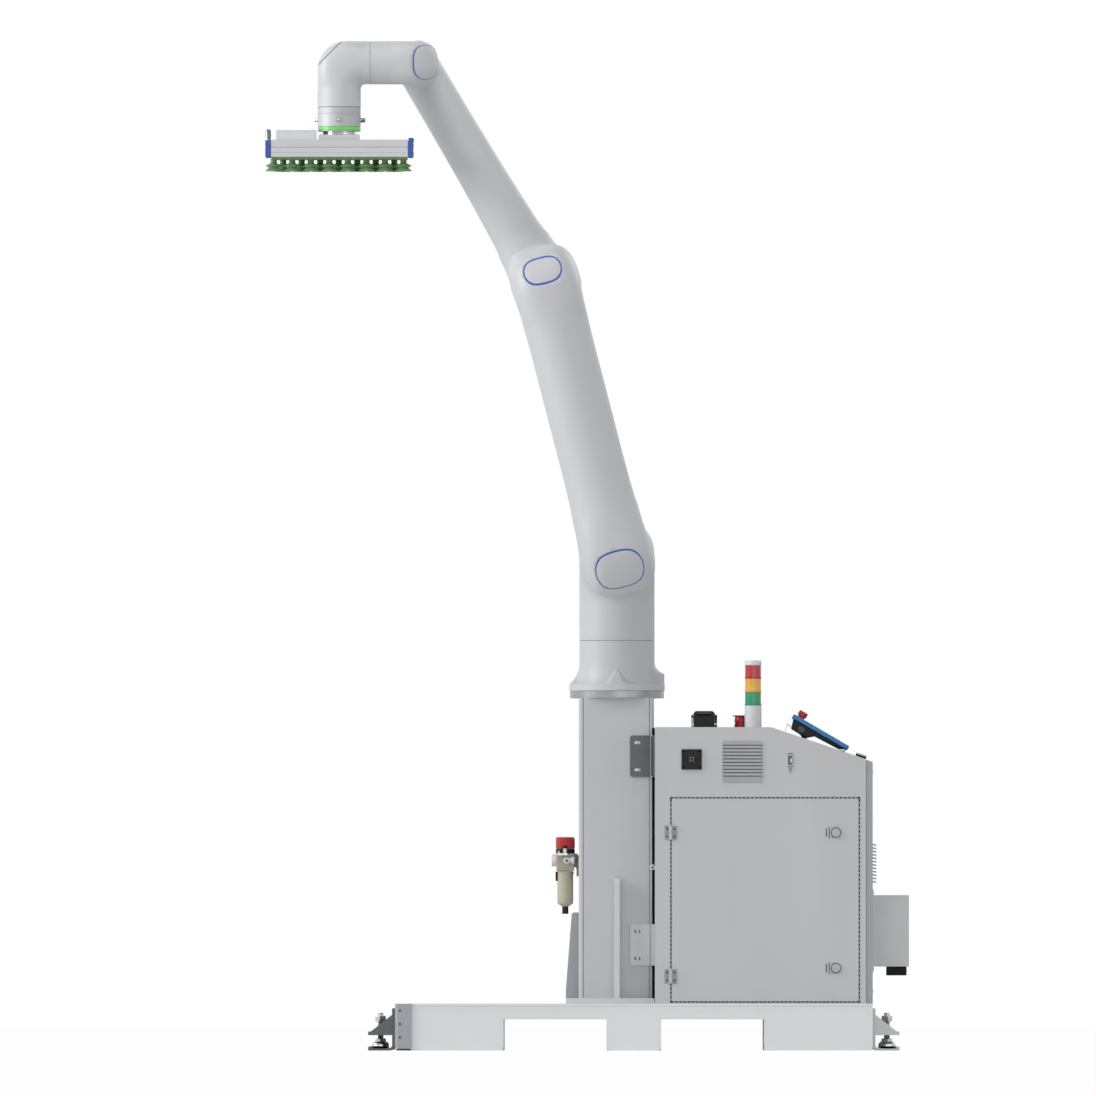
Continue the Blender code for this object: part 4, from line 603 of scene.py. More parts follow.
def finish_tree(tree, source, given, out, turn_name="Turn"):
    """Instances of the piece on the source points, turned, made real, with their material."""
    info = tree.nodes.new("GeometryNodeObjectInfo")
    info.transform_space = "ORIGINAL"
    spread = tree.nodes.new("GeometryNodeInstanceOnPoints")
    spin = tree.nodes.new("GeometryNodeRotateInstances")
    chance = tree.nodes.new("FunctionNodeRandomValue")
    pack = tree.nodes.new("ShaderNodeCombineXYZ")
    real = tree.nodes.new("GeometryNodeRealizeInstances")
    dye = tree.nodes.new("GeometryNodeSetMaterial")
    link = tree.links.new
    link(given.outputs["Piece"], info.inputs["Object"])
    link(source, spread.inputs["Points"])
    link(info.outputs["Geometry"], spread.inputs["Instance"])
    link(given.outputs[turn_name], spread.inputs["Rotation"])
    link(given.outputs["Random turn"],
         [s for s in chance.inputs if s.name == "Max" and s.type == "VALUE"][0])
    link([s for s in chance.outputs if s.type == "VALUE"][0], pack.inputs["Z"])
    link(spread.outputs["Instances"], spin.inputs["Instances"])
    link(pack.outputs["Vector"], spin.inputs["Rotation"])
    link(spin.outputs["Instances"], real.inputs["Geometry"])
    link(real.outputs["Geometry"], dye.inputs["Geometry"])
    link(given.outputs["Material"], dye.inputs["Material"])
    link(dye.outputs["Geometry"], out.inputs["Geometry"])


COMMON = [("Piece", "NodeSocketObject"), ("Turn", "NodeSocketRotation"), ("Random turn", "NodeSocketFloat"),
          ("Material", "NodeSocketMaterial")]


def points_tree():
    tree, given, out = new_tree("pieces_at_points", [("Geometry", "NodeSocketGeometry")] + COMMON)
    finish_tree(tree, given.outputs["Geometry"], given, out)
    return tree


def row_tree():
    inputs = [("Count", "NodeSocketInt"), ("Start", "NodeSocketVector"), ("Step", "NodeSocketVector")]
    tree, given, out = new_tree("pieces_in_a_row", inputs + COMMON)
    line = tree.nodes.new("GeometryNodeMeshLine")
    line.mode = "OFFSET"
    tree.links.new(given.outputs["Count"], line.inputs["Count"])
    tree.links.new(given.outputs["Start"], line.inputs["Start Location"])
    tree.links.new(given.outputs["Step"], line.inputs["Offset"])
    finish_tree(tree, line.outputs["Mesh"], given, out)
    return tree


POINTS_TREE = points_tree()
ROW_TREE = row_tree()


def spread(tree, name, mesh, piece, finish, body, settings, smooth=40, replaces=()):
    """Run a repeat tree on a mesh and settle what it makes."""
    host, source = linked(name + "_host", mesh), linked(name + "_piece", piece)
    mod = host.modifiers.new("repeat", "NODES")
    mod.node_group = tree
    settings = dict(settings, Piece=source, Material=finish.mat)
    for item in tree.interface.items_tree:
        if item.in_out == "INPUT" and item.name in settings:
            mod[item.identifier] = settings[item.name]
    host.update_tag()
    bpy.context.view_layer.update()
    made = evaluated(host)
    host.modifiers.remove(mod)
    for obj in (host, source):
        bpy.data.objects.remove(obj, do_unlink=True)
    return settle(name, made, finish, body, smooth, replaces)


def repeat_at(name, points, piece, finish, body, turn=(0.0, 0.0, 0.0), chance=0.0, replaces=()):
    mesh = bpy.data.meshes.new(name + "_points")
    mesh.from_pydata([tuple(p) for p in points], [], [])
    settings = {"Turn": turn, "Random turn": chance}
    return spread(POINTS_TREE, name, mesh, piece, finish, body, settings, 40, replaces)


def repeat_row(name, count, start, step, piece, finish, body,
               turn=(0.0, 0.0, 0.0), chance=0.0, replaces=()):
    settings = {"Count": count, "Start": tuple(start), "Step": tuple(step), "Turn": turn,
                "Random turn": chance}
    return spread(ROW_TREE, name, bpy.data.meshes.new(name + "_line"), piece, finish, body, settings, 40,
                  replaces)


def carve(mesh, cutter, name):
    """A mesh with another taken out of it."""
    objects = [linked(name + "_whole", mesh), linked(name + "_out", cutter)]
    mod = objects[0].modifiers.new("cut", "BOOLEAN")
    mod.operation = "DIFFERENCE"
    mod.solver = "EXACT"
    mod.object = objects[1]
    bpy.context.view_layer.update()
    made = evaluated(objects[0])
    for obj in objects:
        bpy.data.objects.remove(obj, do_unlink=True)
    return made


def button_screw(radius, height, name="button_screw"):
    """A low domed screw with a hexagon socket."""
    bm = bmesh.new()
    profile = [(0, 0), (radius, 0)]
    for i in range(1, 6):
        a = math.pi / 2 * i / 6
        profile.append((radius * math.cos(a), height * math.sin(a)))
    profile.append((0, height))
    add_turned(bm, profile, (0, 0, 0), UP, 24)
    out = bmesh.new()
    add_rod(out, radius * 0.42, (0, 0, height * 0.35), (0, 0, height * 2), 6)
    return carve(mesh_from(bm, name), mesh_from(out, name + "_socket"), name)


FRONT = (math.pi / 2, 0.0, 0.0)      # the piece's own up then points to -Y
REAR = (-math.pi / 2, 0.0, 0.0)
LEFT = (0.0, -math.pi / 2, 0.0)
RIGHT = (0.0, math.pi / 2, 0.0)
ROUND = 2 * math.pi


# ---- tool and gripper -----------------------------------------------------

def build_tool():
    x, y = JOINT_6.x, JOINT_6.y
    top = JOINT_6.z - SEAM / 2
    low = top - 0.0680 + SEAM / 2
    r = 0.0600
    groove = top - 0.0182
    bm = bmesh.new()
    add_turned(bm, [(0, top), (r - 0.0008, top), (r, top - 0.0008), (r, groove + 0.0006),
                    (r - 0.0007, groove + 0.0003), (r - 0.0007, groove - 0.0003), (r, groove - 0.0006),
                    (r, low + 0.0137), (r - 0.0005, low + 0.0132), (r - 0.0040, low + 0.0132),
                    (r - 0.0040, low + 0.0030), (r - 0.0005, low + 0.0030), (r, low + 0.0025),
                    (r, low + 0.0006), (r - 0.0006, low), (0, low)], (x, y, 0), UP, 128)
    out = bmesh.new()
    level = low + 0.0314
    add_rod(out, 0.0067, (x, y - r - 0.01, level), (x, y - r + 0.009, level), 40)
    add_turned(out, [(0, -0.010), (0.0095, -0.010), (0.0078, 0.0010), (0, 0.0010)], (x, y - r, level), Y,
               40)
    mesh = carve(mesh_from(bm, "tool_body"), mesh_from(out, "button_bore"), "tool_body")
    settle("tool_body_turned", mesh, TOOL_METAL, "tool", 30, ("tool_body",))
    for side, which, wide, reach, finish in ((-1, "left", 0.0046, 0.0095, STEEL),
                                             (1, "right", 0.0070, 0.0136, CHROME)):
        bm = bmesh.new()
        start = (x + side * (r - 0.0006), y, level)
        add_turned(bm, [(0, 0), (wide, 0), (wide, reach * 0.40), (wide * 0.92, reach * 0.45),
                        (wide * 0.84, reach * 0.50), (wide * 0.84, reach * 0.56),
                        (wide * 0.90, reach * 0.62), (wide * 0.90, reach * 0.95), (wide * 0.82, reach),
                        (wide * 0.64, reach), (wide * 0.64, reach * 0.74), (0, reach * 0.74)], start,
                   X * side, 36)
        if side > 0:
            add_rod(bm, wide * 1.08, (x + r - 0.0004, y, level), (x + r + reach * 0.36, y, level), 6)
        put("tool_connector_" + which, bm, finish, "tool", 30)
        solid_piece("tool_connector_insert_" + which, BLACK, "tool", [
            ("rod", wide * 0.58, (x + side * (r + reach * 0.40), y, level),
             (x + side * (r + reach * 0.80), y, level), 24)])
    solid_piece("tool_button_cap", ZINC, "release_button", [
        ("turned", [(0, 0.0010), (0.0030, 0.0006), (0.0046, -0.0008), (0.0056, -0.0010), (0.0062, -0.0004),
                    (0.0062, -0.0014), (0.0062, -0.0075), (0, -0.0075)], (x, y - r, level), -Y, 40)],
                smooth=30, replaces=("tool_button",))
    solid_piece("tool_button_ring", BUTTON_GREEN, "tool", [
        ("turned", [(0.0064, -0.0012), (0.0080, -0.0008), (0.0080, 0.0006), (0.0064, 0.0006),
                    (0.0064, -0.0012)], (x, y - r, level), -Y, 48)], smooth=30)
    solid_piece("light_ring_lens", RING_LIGHT, "tool", [
        ("turned", [(r - 0.0036, 0.0008), (r - 0.0002, 0.0008), (r + 0.0003, 0.0016),
                    (r + 0.0003, 0.0086), (r - 0.0002, 0.0094), (r - 0.0036, 0.0094),
                    (r - 0.0036, 0.0008)],
         (x, y, low + 0.0033 - 0.0003), UP, 128)], smooth=30, replaces=("light_ring",))
    rim = low - 0.0003
    solid_piece("tool_flange_plate", STEEL, "tool", [
        ("turned", [(0, rim), (0.0452, rim), (0.0456, rim - 0.0004), (0.0456, rim - 0.0036),
                    (0.0446, rim - 0.0040), (0.0446, rim - 0.0052), (0.0456, rim - 0.0056),
                    (0.0456, rim - 0.0090), (0.0450, rim - 0.0095), (0, rim - 0.0095)], (x, y, 0), UP, 96)],
                smooth=30, replaces=("tool_flange",))


def bellows_cup():
    """A suction cup with a wide fold and an open lip, hollow below, hanging from the origin."""
    bm = bmesh.new()
    add_turned(bm, [(0, 0.0010), (0.0100, 0.0010), (0.0090, -0.0020), (0.0086, -0.0060), (0.0090, -0.0096),
                    (0.0108, -0.0116), (0.0200, -0.0156), (0.0222, -0.0168), (0.0226, -0.0178),
                    (0.0221, -0.0187), (0.0165, -0.0214), (0.0150, -0.0226), (0.0146, -0.0236),
                    (0.0151, -0.0246), (0.0168, -0.0258), (0.0222, -0.0305), (0.0236, -0.0322),
                    (0.0238, -0.0330), (0.0222, -0.0330), (0.0150, -0.0276), (0.0126, -0.0252),
                    (0.0120, -0.0236), (0.0126, -0.0220), (0.0180, -0.0184), (0.0060, -0.0140),
                    (0.0040, -0.0140), (0.0040, -0.0100), (0, -0.0100)], (0, 0, 0), UP, 40)
    return mesh_from(bm, "bellows_cup")


BAR_LONGER_LEFT, BAR_LONGER_RIGHT = 0.0124, 0.0176    # the photograph's bar against the CAD's


def build_gripper():
    x, y = JOINT_6.x, JOINT_6.y
    low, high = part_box("gripper_adapter")
    low, high = Vector(low), Vector(high)
    shapes = [("box", low, high - UP * 0.0008)]
    shapes.append(("box", (low.x + 0.004, low.y + 0.004, high.z - 0.0012),
                   (high.x - 0.004, high.y - 0.004, high.z)))
    solid_piece("adapter_plate", RAIL_METAL, "tool", shapes, 0.0009, ("gripper_adapter",))
    spots = [(x + a * 0.0500, y + b * 0.0470, high.z - 0.0002) for a in (-1, 1) for b in (-1, 1)]
    repeat_at("adapter_screws", spots, button_screw(0.0046, 0.0024), ZINC, "tool", chance=ROUND)
    low, high = (Vector(v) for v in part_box("gripper_bar"))
    low.x -= BAR_LONGER_LEFT
    high.x += BAR_LONGER_RIGHT
    height = high.z - low.z
    bm = bmesh.new()
    grooves = ((0.25, 0.0007, 0.0008), (0.54, 0.0012, 0.0024))
    outline = [(low.y, low.z), (high.y, low.z)]
    for share, half, deep in grooves:
        z = low.z + height * share
        outline += [(high.y, z - half - 0.0005), (high.y - deep, z - half), (high.y - deep, z + half),
                    (high.y, z + half + 0.0005)]
    outline += [(high.y, high.z), (low.y, high.z)]
    for share, half, deep in grooves[::-1]:
        z = low.z + height * share
        outline += [(low.y, z + half + 0.0005), (low.y + deep, z + half), (low.y + deep, z - half),
                    (low.y, z - half - 0.0005)]
    ends = [[bm.verts.new((end, *p)) for p in outline] for end in (low.x, high.x)]
    bm.faces.new(ends[0])
    bm.faces.new(ends[1])
    for k in range(len(outline)):
        n = (k + 1) % len(outline)
        bm.faces.new((ends[0][k], ends[0][n], ends[1][n], ends[1][k]))
    bmesh.ops.recalc_face_normals(bm, faces=bm.faces)
    mesh = bevelled(mesh_from(bm, "vacuum_rail"), 0.0008, 2, 60)
    settle("vacuum_rail", mesh, RAIL_METAL, "tool", 40, ("gripper_bar",))
    left, right = (Vector(v) - X * BAR_LONGER_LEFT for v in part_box("gripper_left_cap"))
    top = high.z - 0.0017
    solid_piece("left_end_cap", CAP_BLUE, "tool", [("box", left, (right.x, right.y, top))], 0.0016,
                ("gripper_left_cap",), 3)
    fitting = ((left.x + right.x) / 2, y, top)
    bm = bmesh.new()
    add_rod(bm, 0.0086, Vector(fitting) - UP * 0.001, Vector(fitting) + UP * 0.0070, 6)
    add_turned(bm, [(0, 0.0065), (0.0068, 0.0065), (0.0068, 0.0082), (0.0077, 0.0090), (0.0077, 0.0205),
                    (0.0070, 0.0215), (0.0070, 0.0228), (0.0077, 0.0236), (0.0077, 0.0285),
                    (0.0072, 0.0292), (0.0054, 0.0292), (0.0048, 0.0240), (0, 0.0240)], fitting, UP, 40)
    settle("air_fitting", bevelled(mesh_from(bm, "air_fitting"), 0.0004, 1, 50), CHROME, "tool")
    solid_piece("air_fitting_ring", BLACK, "tool", [
        ("turned", [(0.0032, 0.0245), (0.0046, 0.0245), (0.0046, 0.0303), (0.0062, 0.0306),
                    (0.0062, 0.0314), (0.0034, 0.0314), (0.0032, 0.0306), (0.0032, 0.0245)], fitting, UP,
         36)])
    low_2, high_2 = (Vector(v) + X * BAR_LONGER_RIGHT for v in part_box("gripper_right_cap"))
    solid_piece("right_end_cap", CAP_BLUE, "tool", [
        ("box", low_2, (high_2.x - 0.0012, high_2.y, high_2.z - 0.0090)),
        ("box", (low_2.x + 0.0012, low_2.y, high_2.z - 0.0092), high_2)], 0.0014, ("gripper_right_cap",), 3)
    spots = [(left.x + 0.0022, y + a * 0.044, left.z + 0.012 + b * 0.022) for a in (-1, 1) for b in (0, 1)]
    repeat_at("left_cap_screws", spots, button_screw(0.0040, 0.0022), ZINC, "tool", LEFT, 0.0)
    spots = [(high_2.x - 0.0018, p[1], p[2]) for p in spots]
    repeat_at("right_cap_screws", spots, button_screw(0.0040, 0.0022), ZINC, "tool", RIGHT, 0.0)
    vl, vh = (Vector(v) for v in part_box("valve_box"))
    solid_piece("valve_box_case", PALE, "tool", [("box", vl, vh - UP * 0.0058)], 0.0010, ("valve_box",))
    solid_piece("valve_box_lid", PALE, "tool", [("box", (vl.x, vl.y, vh.z - 0.0054), vh),
                                                ("box", (vl.x + 0.001, vl.y + 0.001, vh.z - 0.0062),
                                                 (vh.x - 0.001, vh.y - 0.001, vh.z - 0.005))], 0.0008)
    spots = [(a, b, vh.z - 0.0002) for a in (vl.x + 0.010, vh.x - 0.010)
             for b in (vl.y + 0.010, vh.y - 0.010)]
    repeat_at("valve_lid_screws", spots, button_screw(0.0030, 0.0017), ZINC, "tool", chance=ROUND)
    plate_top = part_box("suction_cups")[1][2]
    plate_low = plate_top - 0.0056
    solid_piece("cup_strip", SILICONE, "tool", [
        ("box", (low.x + 0.001, y - 0.056, plate_low), (high.x - 0.001, y + 0.056, plate_top))], 0.0010,
                ("suction_cups",))
    centre, pitch = x - 0.0015, 0.0519
    for count, row_y, which in ((8, y - 0.028, "front"), (7, y + 0.028, "rear")):
        start = (centre - (count - 1) / 2 * pitch, row_y, plate_low)
        repeat_row("bellows_cups_" + which, count, start, (pitch, 0, 0), bellows_cup(), SILICONE, "tool")


build_tool()
build_gripper()


# ---- column and base frame ------------------------------------------------

def add_prism(bm, outline, low, high, plane="XZ"):
    """An outline drawn in a plane and pushed along the third axis."""
    order = {"XZ": (0, 2, 1), "XY": (0, 1, 2), "YZ": (1, 2, 0)}[plane]
    ends = []
    for level in (low, high):
        row = []
        for a, b in outline:
            point = [0, 0, 0]
            point[order[0]], point[order[1]], point[order[2]] = a, b, level
            row.append(bm.verts.new(point))
        ends.append(row)
    faces = [bm.faces.new(ends[0]), bm.faces.new(ends[1])]
    for k in range(len(outline)):
        n = (k + 1) % len(outline)
        faces.append(bm.faces.new((ends[0][k], ends[0][n], ends[1][n], ends[1][k])))
    bmesh.ops.recalc_face_normals(bm, faces=faces)
    return faces


def prism_piece(name, finish, body, outline, low, high, plane="XZ", bevel=0.0, replaces=(), segments=2):
    bm = bmesh.new()
    add_prism(bm, outline, low, high, plane)
    mesh = mesh_from(bm, name)
    if bevel:
        mesh = bevelled(mesh, bevel, segments, 40)
    return settle(name, mesh, finish, body, 40, replaces)


def corner_arc(centre, radius, start, end, steps=8):
    return [(centre[0] + radius * math.cos(math.radians(start + (end - start) * i / steps)),
             centre[1] + radius * math.sin(math.radians(start + (end - start) * i / steps)))
            for i in range(steps + 1)]


def rounded(half_a, half_b, radius, centre=(0, 0), steps=8):
    points = []
    for a, b, start in ((1, 1, 0), (-1, 1, 90), (-1, -1, 180), (1, -1, 270)):
        points += corner_arc((centre[0] + a * (half_a - radius), centre[1] + b * (half_b - radius)), radius,
                             start, start + 90, steps)
    return points


def build_robot_base():
    """Cast foot: a tube that sweeps out to the flange, pyramid ribs, a taller lug at the back."""
    low, top = 1.0079, SEAM_1 - SEAM / 2
    flange, r = 1.0272, 0.1055
    lug_top = 1.0553

    def sweep(z, reach, start, end):
        share = min(1, max(0, (end - z) / (end - start)))
        return r + (reach - r) * share ** 2.4

    levels = [flange - 0.001 + (top - 0.0009 - flange + 0.001) * (i / 56) ** 1.5 for i in range(57)]
    bm = bmesh.new()
    rows = []
    sides = 360
    for z in levels + [top]:
        row = []
        for k in range(sides):
            a = 2 * math.pi * k / sides
            reach = sweep(z, 0.1180, flange, 1.092) - (0.0009 if z == top else 0)
            for middle in (90, 180, 270):
                off = math.remainder(a - math.radians(middle), 2 * math.pi)
                wide = 0.0305 * (1 - (z - 1.0262) / 0.046)
                across = abs(r * math.sin(off))
                if abs(off) < 1 and wide > 0.0005 and across < wide:
                    lift = min(1, (1 - across / wide) * 2.6)
                    reach = max(reach, reach + (sweep(z, 0.1335, flange, 1.090) - reach) * lift)
            off = math.remainder(a, 2 * math.pi)
            across = abs(r * math.sin(off))
            if abs(off) < 1 and across < 0.0375 and z < top:
                outer = 0.1330 / max(math.cos(off), 0.5) if z < lug_top else 0
                if z >= lug_top:
                    share = max(0, (1.0920 - z) / (1.0920 - lug_top))
                    outer = r + (0.1330 - r) * share ** 2.6
                lift = min(1, (0.0375 - across) / 0.0040)
                reach = max(reach, reach + (min(outer, 0.1338) - reach) * lift)
            row.append(bm.verts.new((reach * math.cos(a), reach * math.sin(a), z)))
        rows.append(row)
    for a, b in zip(rows, rows[1:]):
        for k in range(sides):
            n = (k + 1) % sides
            bm.faces.new((a[k], a[n], b[n], b[k]))
    bm.faces.new(rows[0])
    bm.faces.new(rows[-1])
    bmesh.ops.recalc_face_normals(bm, faces=bm.faces)
    add_turned(bm, [(0, low), (0.1334, low), (0.1340, low + 0.0006), (0.1340, flange - 0.0012),
                    (0.1332, flange), (0, flange)], (0, 0, 0), UP, 128)
    put("robot_base_casting", bm, ARM_PAINT, "base", 24, ("robot_base",))
    spots = [(0.1262 * math.cos(a), 0.1262 * math.sin(a), flange - 0.0003)
             for a in (math.radians(d) for d in (35, 65, 115, 145, 215, 245, 295, 325))]
    repeat_at("base_bolts", spots, button_screw(0.0060, 0.0014), ZINC, "base", chance=ROUND)


def bracket(name, low, side, finish, edge):
    """A bent plate with rounded corners and two slotted holes, from the column to the cabinet."""
    half, sheet, high = COLUMN_HALF, 0.0040, low + 0.116
    left, right, wall = half - 0.0672, 0.0925, 0.1057
    face = side * (half + sheet)
    outline = corner_arc((left + 0.008, low + 0.008), 0.008, 180, 270) + [(right, low), (right, high)]
    outline += corner_arc((left + 0.008, high - 0.008), 0.008, 90, 180)
    bm = bmesh.new()
    add_prism(bm, outline, *sorted((face, side * (half + 0.0002))))
    out = bmesh.new()
    holes = [(left + 0.0205, z) for z in (low + 0.0200, high - 0.0200)]
    for hole in holes:
        add_prism(out, rounded(0.0088, 0.0044, 0.0043, hole),
                  *sorted((face + side * 0.01, side * (half - 0.003))))
    mesh = carve(mesh_from(bm, name), mesh_from(out, "slots"), name)
    settle(name, bevelled(mesh, 0.0006, 2, 50), finish, "base")
    # Behind the slots lies a painted patch: bright on the upper brackets as a painted highlight, dark on
    # the lower ones as painted shade.
    bm = bmesh.new()
    for hole in holes:
        add_prism(bm, rounded(0.0092, 0.0048, 0.0046, hole),
                  *sorted((side * (half + 0.0001), side * (half + 0.0009))))
    put(name + "_hole_liner", bm, DARK_METAL if edge is None else BRIGHT_ZINC, "base")
    spots = [(x + 0.0004, face - side * 0.0022, z + 0.0004) for x, z in holes]
    repeat_at(name + "_screws", spots, button_screw(0.0046, 0.0026), BRIGHT_ZINC, "base",
              FRONT if side < 0 else REAR)
    leg = ("box", (wall - sheet, min(side * (half + 0.055), side * (half - 0.0005)), low),
           (wall, max(side * (half + 0.055), side * (half - 0.0005)), high))
    near, far = sorted((face - side * 0.0004, side * (half + 0.0002)))
    solid_piece(name + "_leg", finish, "base", [
        leg, ("box", (right + 0.0009, near, low + 0.0004), (wall - 0.0005, far, high - 0.0004))], 0.0004)
    if edge is not None:
        near, far = sorted((face + side * 0.0007, side * (half + 0.0008)))
        solid_piece(name + "_edge", edge, "base", [
            ("box", (right + 0.0006, near, low), (right + 0.0022, far, high)),
            ("box", (right + 0.0012, near, high - 0.0016), (wall - 0.0012, far, high)),
            ("box", (right + 0.0012, near, low), (wall - 0.0012, far, low + 0.0016))], 0.0004)
    else:
        near, far = sorted((face - side * 0.0002, side * (half + 0.0001)))
        solid_piece(name + "_joint", DARK_RUBBER, "base", [
            ("box", (right + 0.0001, near, low + 0.0004), (right + 0.0010, far, high - 0.0004))])


def build_column():
    half, foot, plate = COLUMN_HALF, 0.1313, 0.0150
    outline = []
    for a, b, start in ((1, 1, 0), (-1, 1, 90), (-1, -1, 180), (1, -1, 270)):
        turn = corner_arc((a * (half - 0.0085), b * (half - 0.0085)), 0.0085, start, start + 90, 10)
        groove = [(a * (half - 0.0114), b * half), (a * (half - 0.0126), b * (half - 0.0034)),
                  (a * (half - 0.0138), b * half)]
        outline += turn + groove if start in (0, 180) else groove[::-1] + turn
    outline = [(x - COLUMN_LEFT_MORE if x < 0 else x, y) for x, y in outline]
    bm = bmesh.new()
    add_prism(bm, outline, foot + plate - 0.001, 0.9884, "XY")
    put("column_tube", bm, COLUMN_PAINT, "base", 35, ("column",))
    right = half - 0.001
    solid_piece("column_foot", RIB_PAINT, "base", [
        ("box", (right - 0.2460, -0.150, foot), (right, 0.150, foot + plate))], 0.0010)
    solid_piece("column_flange", FLANGE_METAL, "base", [
        ("turned", [(0, 0.9876), (0.1312, 0.9876), (0.1320, 0.9884), (0.1320, 1.0068), (0.1312, 1.0076),
                    (0, 1.0076)], (0, 0, 0), UP, 128)], smooth=30)
    low, deep = foot + plate - 0.0005, 0.040

    def rib(height):
        return [(half - 0.001, low), (half + deep, low), (half + deep, low + 0.020),
                (half + deep * 0.60, low + height - 0.012)] + \
            corner_arc((half + deep * 0.60 - 0.008, low + height - 0.008), 0.008, 10, 90, 4) + \
            [(half - 0.001, low + height)]

    # The left rib takes the darker end paint as painted shade.
    prism_piece("column_rib_left", END_PAINT, "base", [(-x, z) for x, z in rib(0.241)][::-1],
                -0.008, 0.008, "XZ", 0.0008)
    prism_piece("column_rib_front", RIB_PAINT, "base", [(-x, z) for x, z in rib(0.335)][::-1],
                -0.008, 0.008, "YZ", 0.0008)
    prism_piece("column_rib_rear", RIB_PAINT, "base", rib(0.335), -0.008, 0.008, "YZ", 0.0008)
    for side, where in ((-1, "front"), (1, "rear")):
        bracket("upper_bracket_" + where, 0.7660, side, DARK_PLATE, RIB_PAINT)
        bracket("lower_bracket_" + where, 0.2374, side, RIB_PAINT, None)
    front = -half - 0.0012
    # A black strip on the column's corner, broken at the brackets, is painted shade where column and
    # cabinet meet.
    bands = [(0.1463, 0.2370), (0.3538, 0.5060), (0.5190, 0.7656), (0.8824, 0.9030)]
    solid_piece("column_edge_seal", DARK_RUBBER, "base", [
        ("box", (0.0990, front, low), (0.1046, -0.0960, high)) for low, high in bands] + [
        ("box", (0.0990, 0.0960, low), (0.1046, -front, high)) for low, high in bands])
    bm = bmesh.new()
    ring = [(0.0036, -0.0012), (0.0062, -0.0012), (0.0066, 0), (0.0062, 0.0012), (0.0036, 0.0012),
            (0.0032, 0), (0.0036, -0.0012)]
    add_turned(bm, ring, (CLIP_X, front - 0.0024, CLIP_LEVEL), -Y, 36)
    add_box(bm, (0.0900, front - 0.0020, 0.5136), (0.0945, front - 0.0004, 0.5160))
    add_box(bm, (0.0930, front - 0.0016, 0.5060), (0.0950, front - 0.0004, 0.5120))
    add_rod(bm, 0.0014, (0.0950, front - 0.0016, 0.5190), (0.1040, front - 0.0016, 0.5214), 12)
    put("column_wire_clip", bm, STEEL, "base", 30)
    solid_piece("column_clip_plug", DARK_RUBBER, "base", [
        ("rod", 0.0036, (CLIP_X, front, CLIP_LEVEL), (CLIP_X, front - 0.0030, CLIP_LEVEL), 24)], smooth=30)


def retint(piece, finish, where):
    """A second finish on the faces that the given test picks."""
    piece.data.materials.append(finish.mat)
    for face in piece.data.polygons:
        if where(face.center):
            face.material_index = 1


def build_base_frame():
    left, right, side_face = BASE_MIDDLE - BASE_HALF, BASE_MIDDLE + BASE_HALF, BASE_SIDE
    # The outriggers take other finishes: the left ones the dark plate as painted shade, the right ones the
    # column grey.
    retint(dress("base_shell", FRAME_PAINT, 0.0012), COLUMN_PAINT, lambda spot: spot.x > right + 0.0008)
    retint(dress("front_end_panel", END_PAINT, 0.0010), DARK_PLATE, lambda spot: spot.x < left - 0.0008)
    dress("fork_tunnels", FRAME_PAINT, 0.0008)
    bm = bmesh.new()
    for side in (-1, 1):
        for z in (0.0364, 0.0739, 0.1115):
            add_rod(bm, 0.0039, (left + 0.0140, side * (side_face - 0.0010), z),
                    (left + 0.0140, side * (side_face + 0.00008), z), 24)
    put("end_panel_screws", bm, DARK_METAL, "base", 30)
    deck = bmesh.new()
    for side in (-1, 1):
        near, far = sorted((side * (side_face - 0.0010), side * (side_face + 0.00006)))
        add_box(deck, (left + 0.0030, near, 0.1228), (right - 0.0030, far, 0.1234))
    put("deck_plate_joint", deck, END_PAINT, "base", 30)
    # A black strip along the end panel's foot is a painted contact shadow.
    strip = bmesh.new()
    for side in (-1, 1):
        near, far = sorted((side * (side_face - 0.0010), side * (side_face + 0.00008)))
        add_box(strip, (left + 0.0012, near, 0.0010), (left + 0.0440, far, 0.0036))
    put("end_panel_lower_strip", strip, DARK_RUBBER, "base", 30)
    for place in ("front_near", "front_far", "rear_near", "rear_far"):
        low, high = (Vector(v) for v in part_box("levelling_foot_" + place))
        x, y = (low.x + high.x) / 2, (low.y + high.y) / 2
        at = (x, y, low.z)
        solid_piece("foot_rubber_" + place, DARK_RUBBER, "base", [
            ("turned", [(0, 0), (0.0190, 0), (0.0212, 0.0010), (0.0215, 0.0026), (0.0215, 0.0052),
                        (0, 0.0052)], at, UP, 48)])
        bm = bmesh.new()
        add_turned(bm, [(0, 0.0052), (0.0208, 0.0054), (0.0214, 0.0064), (0.0208, 0.0120), (0.0180, 0.0160),
                        (0.0130, 0.0192), (0.0110, 0.0202), (0, 0.0202)], at, UP, 12)
        top = high.z - low.z
        profile = [(0, 0.0130), (0.0055, 0.0130)]
        turns = int((top - 0.016) / 0.00175)
        for i in range(turns):
            z = 0.0140 + 0.00175 * i
            profile += [(0.0055, z), (0.0049, z + 0.00085)]
        profile += [(0.0050, top - 0.0010), (0.0042, top), (0, top)]
        add_turned(bm, profile, at, UP, 24)
        across = 0.024 / math.sqrt(3)
        for start, end in ((0.0818, 0.0966), (0.0533, 0.0600), (0.0210, 0.0328)):
            nut = bmesh.new()
            add_rod(nut, across, (x, y, start), (x, y, end), 6)
            mesh = bevelled(mesh_from(nut, "nut"), 0.0010, 2, 30)
            bm.from_mesh(mesh)
        put("levelling_screw_" + place, bm, STEEL, "base", 30, ("levelling_foot_" + place,))


build_robot_base()
build_column()
build_base_frame()


# ---- cabinet --------------------------------------------------------------

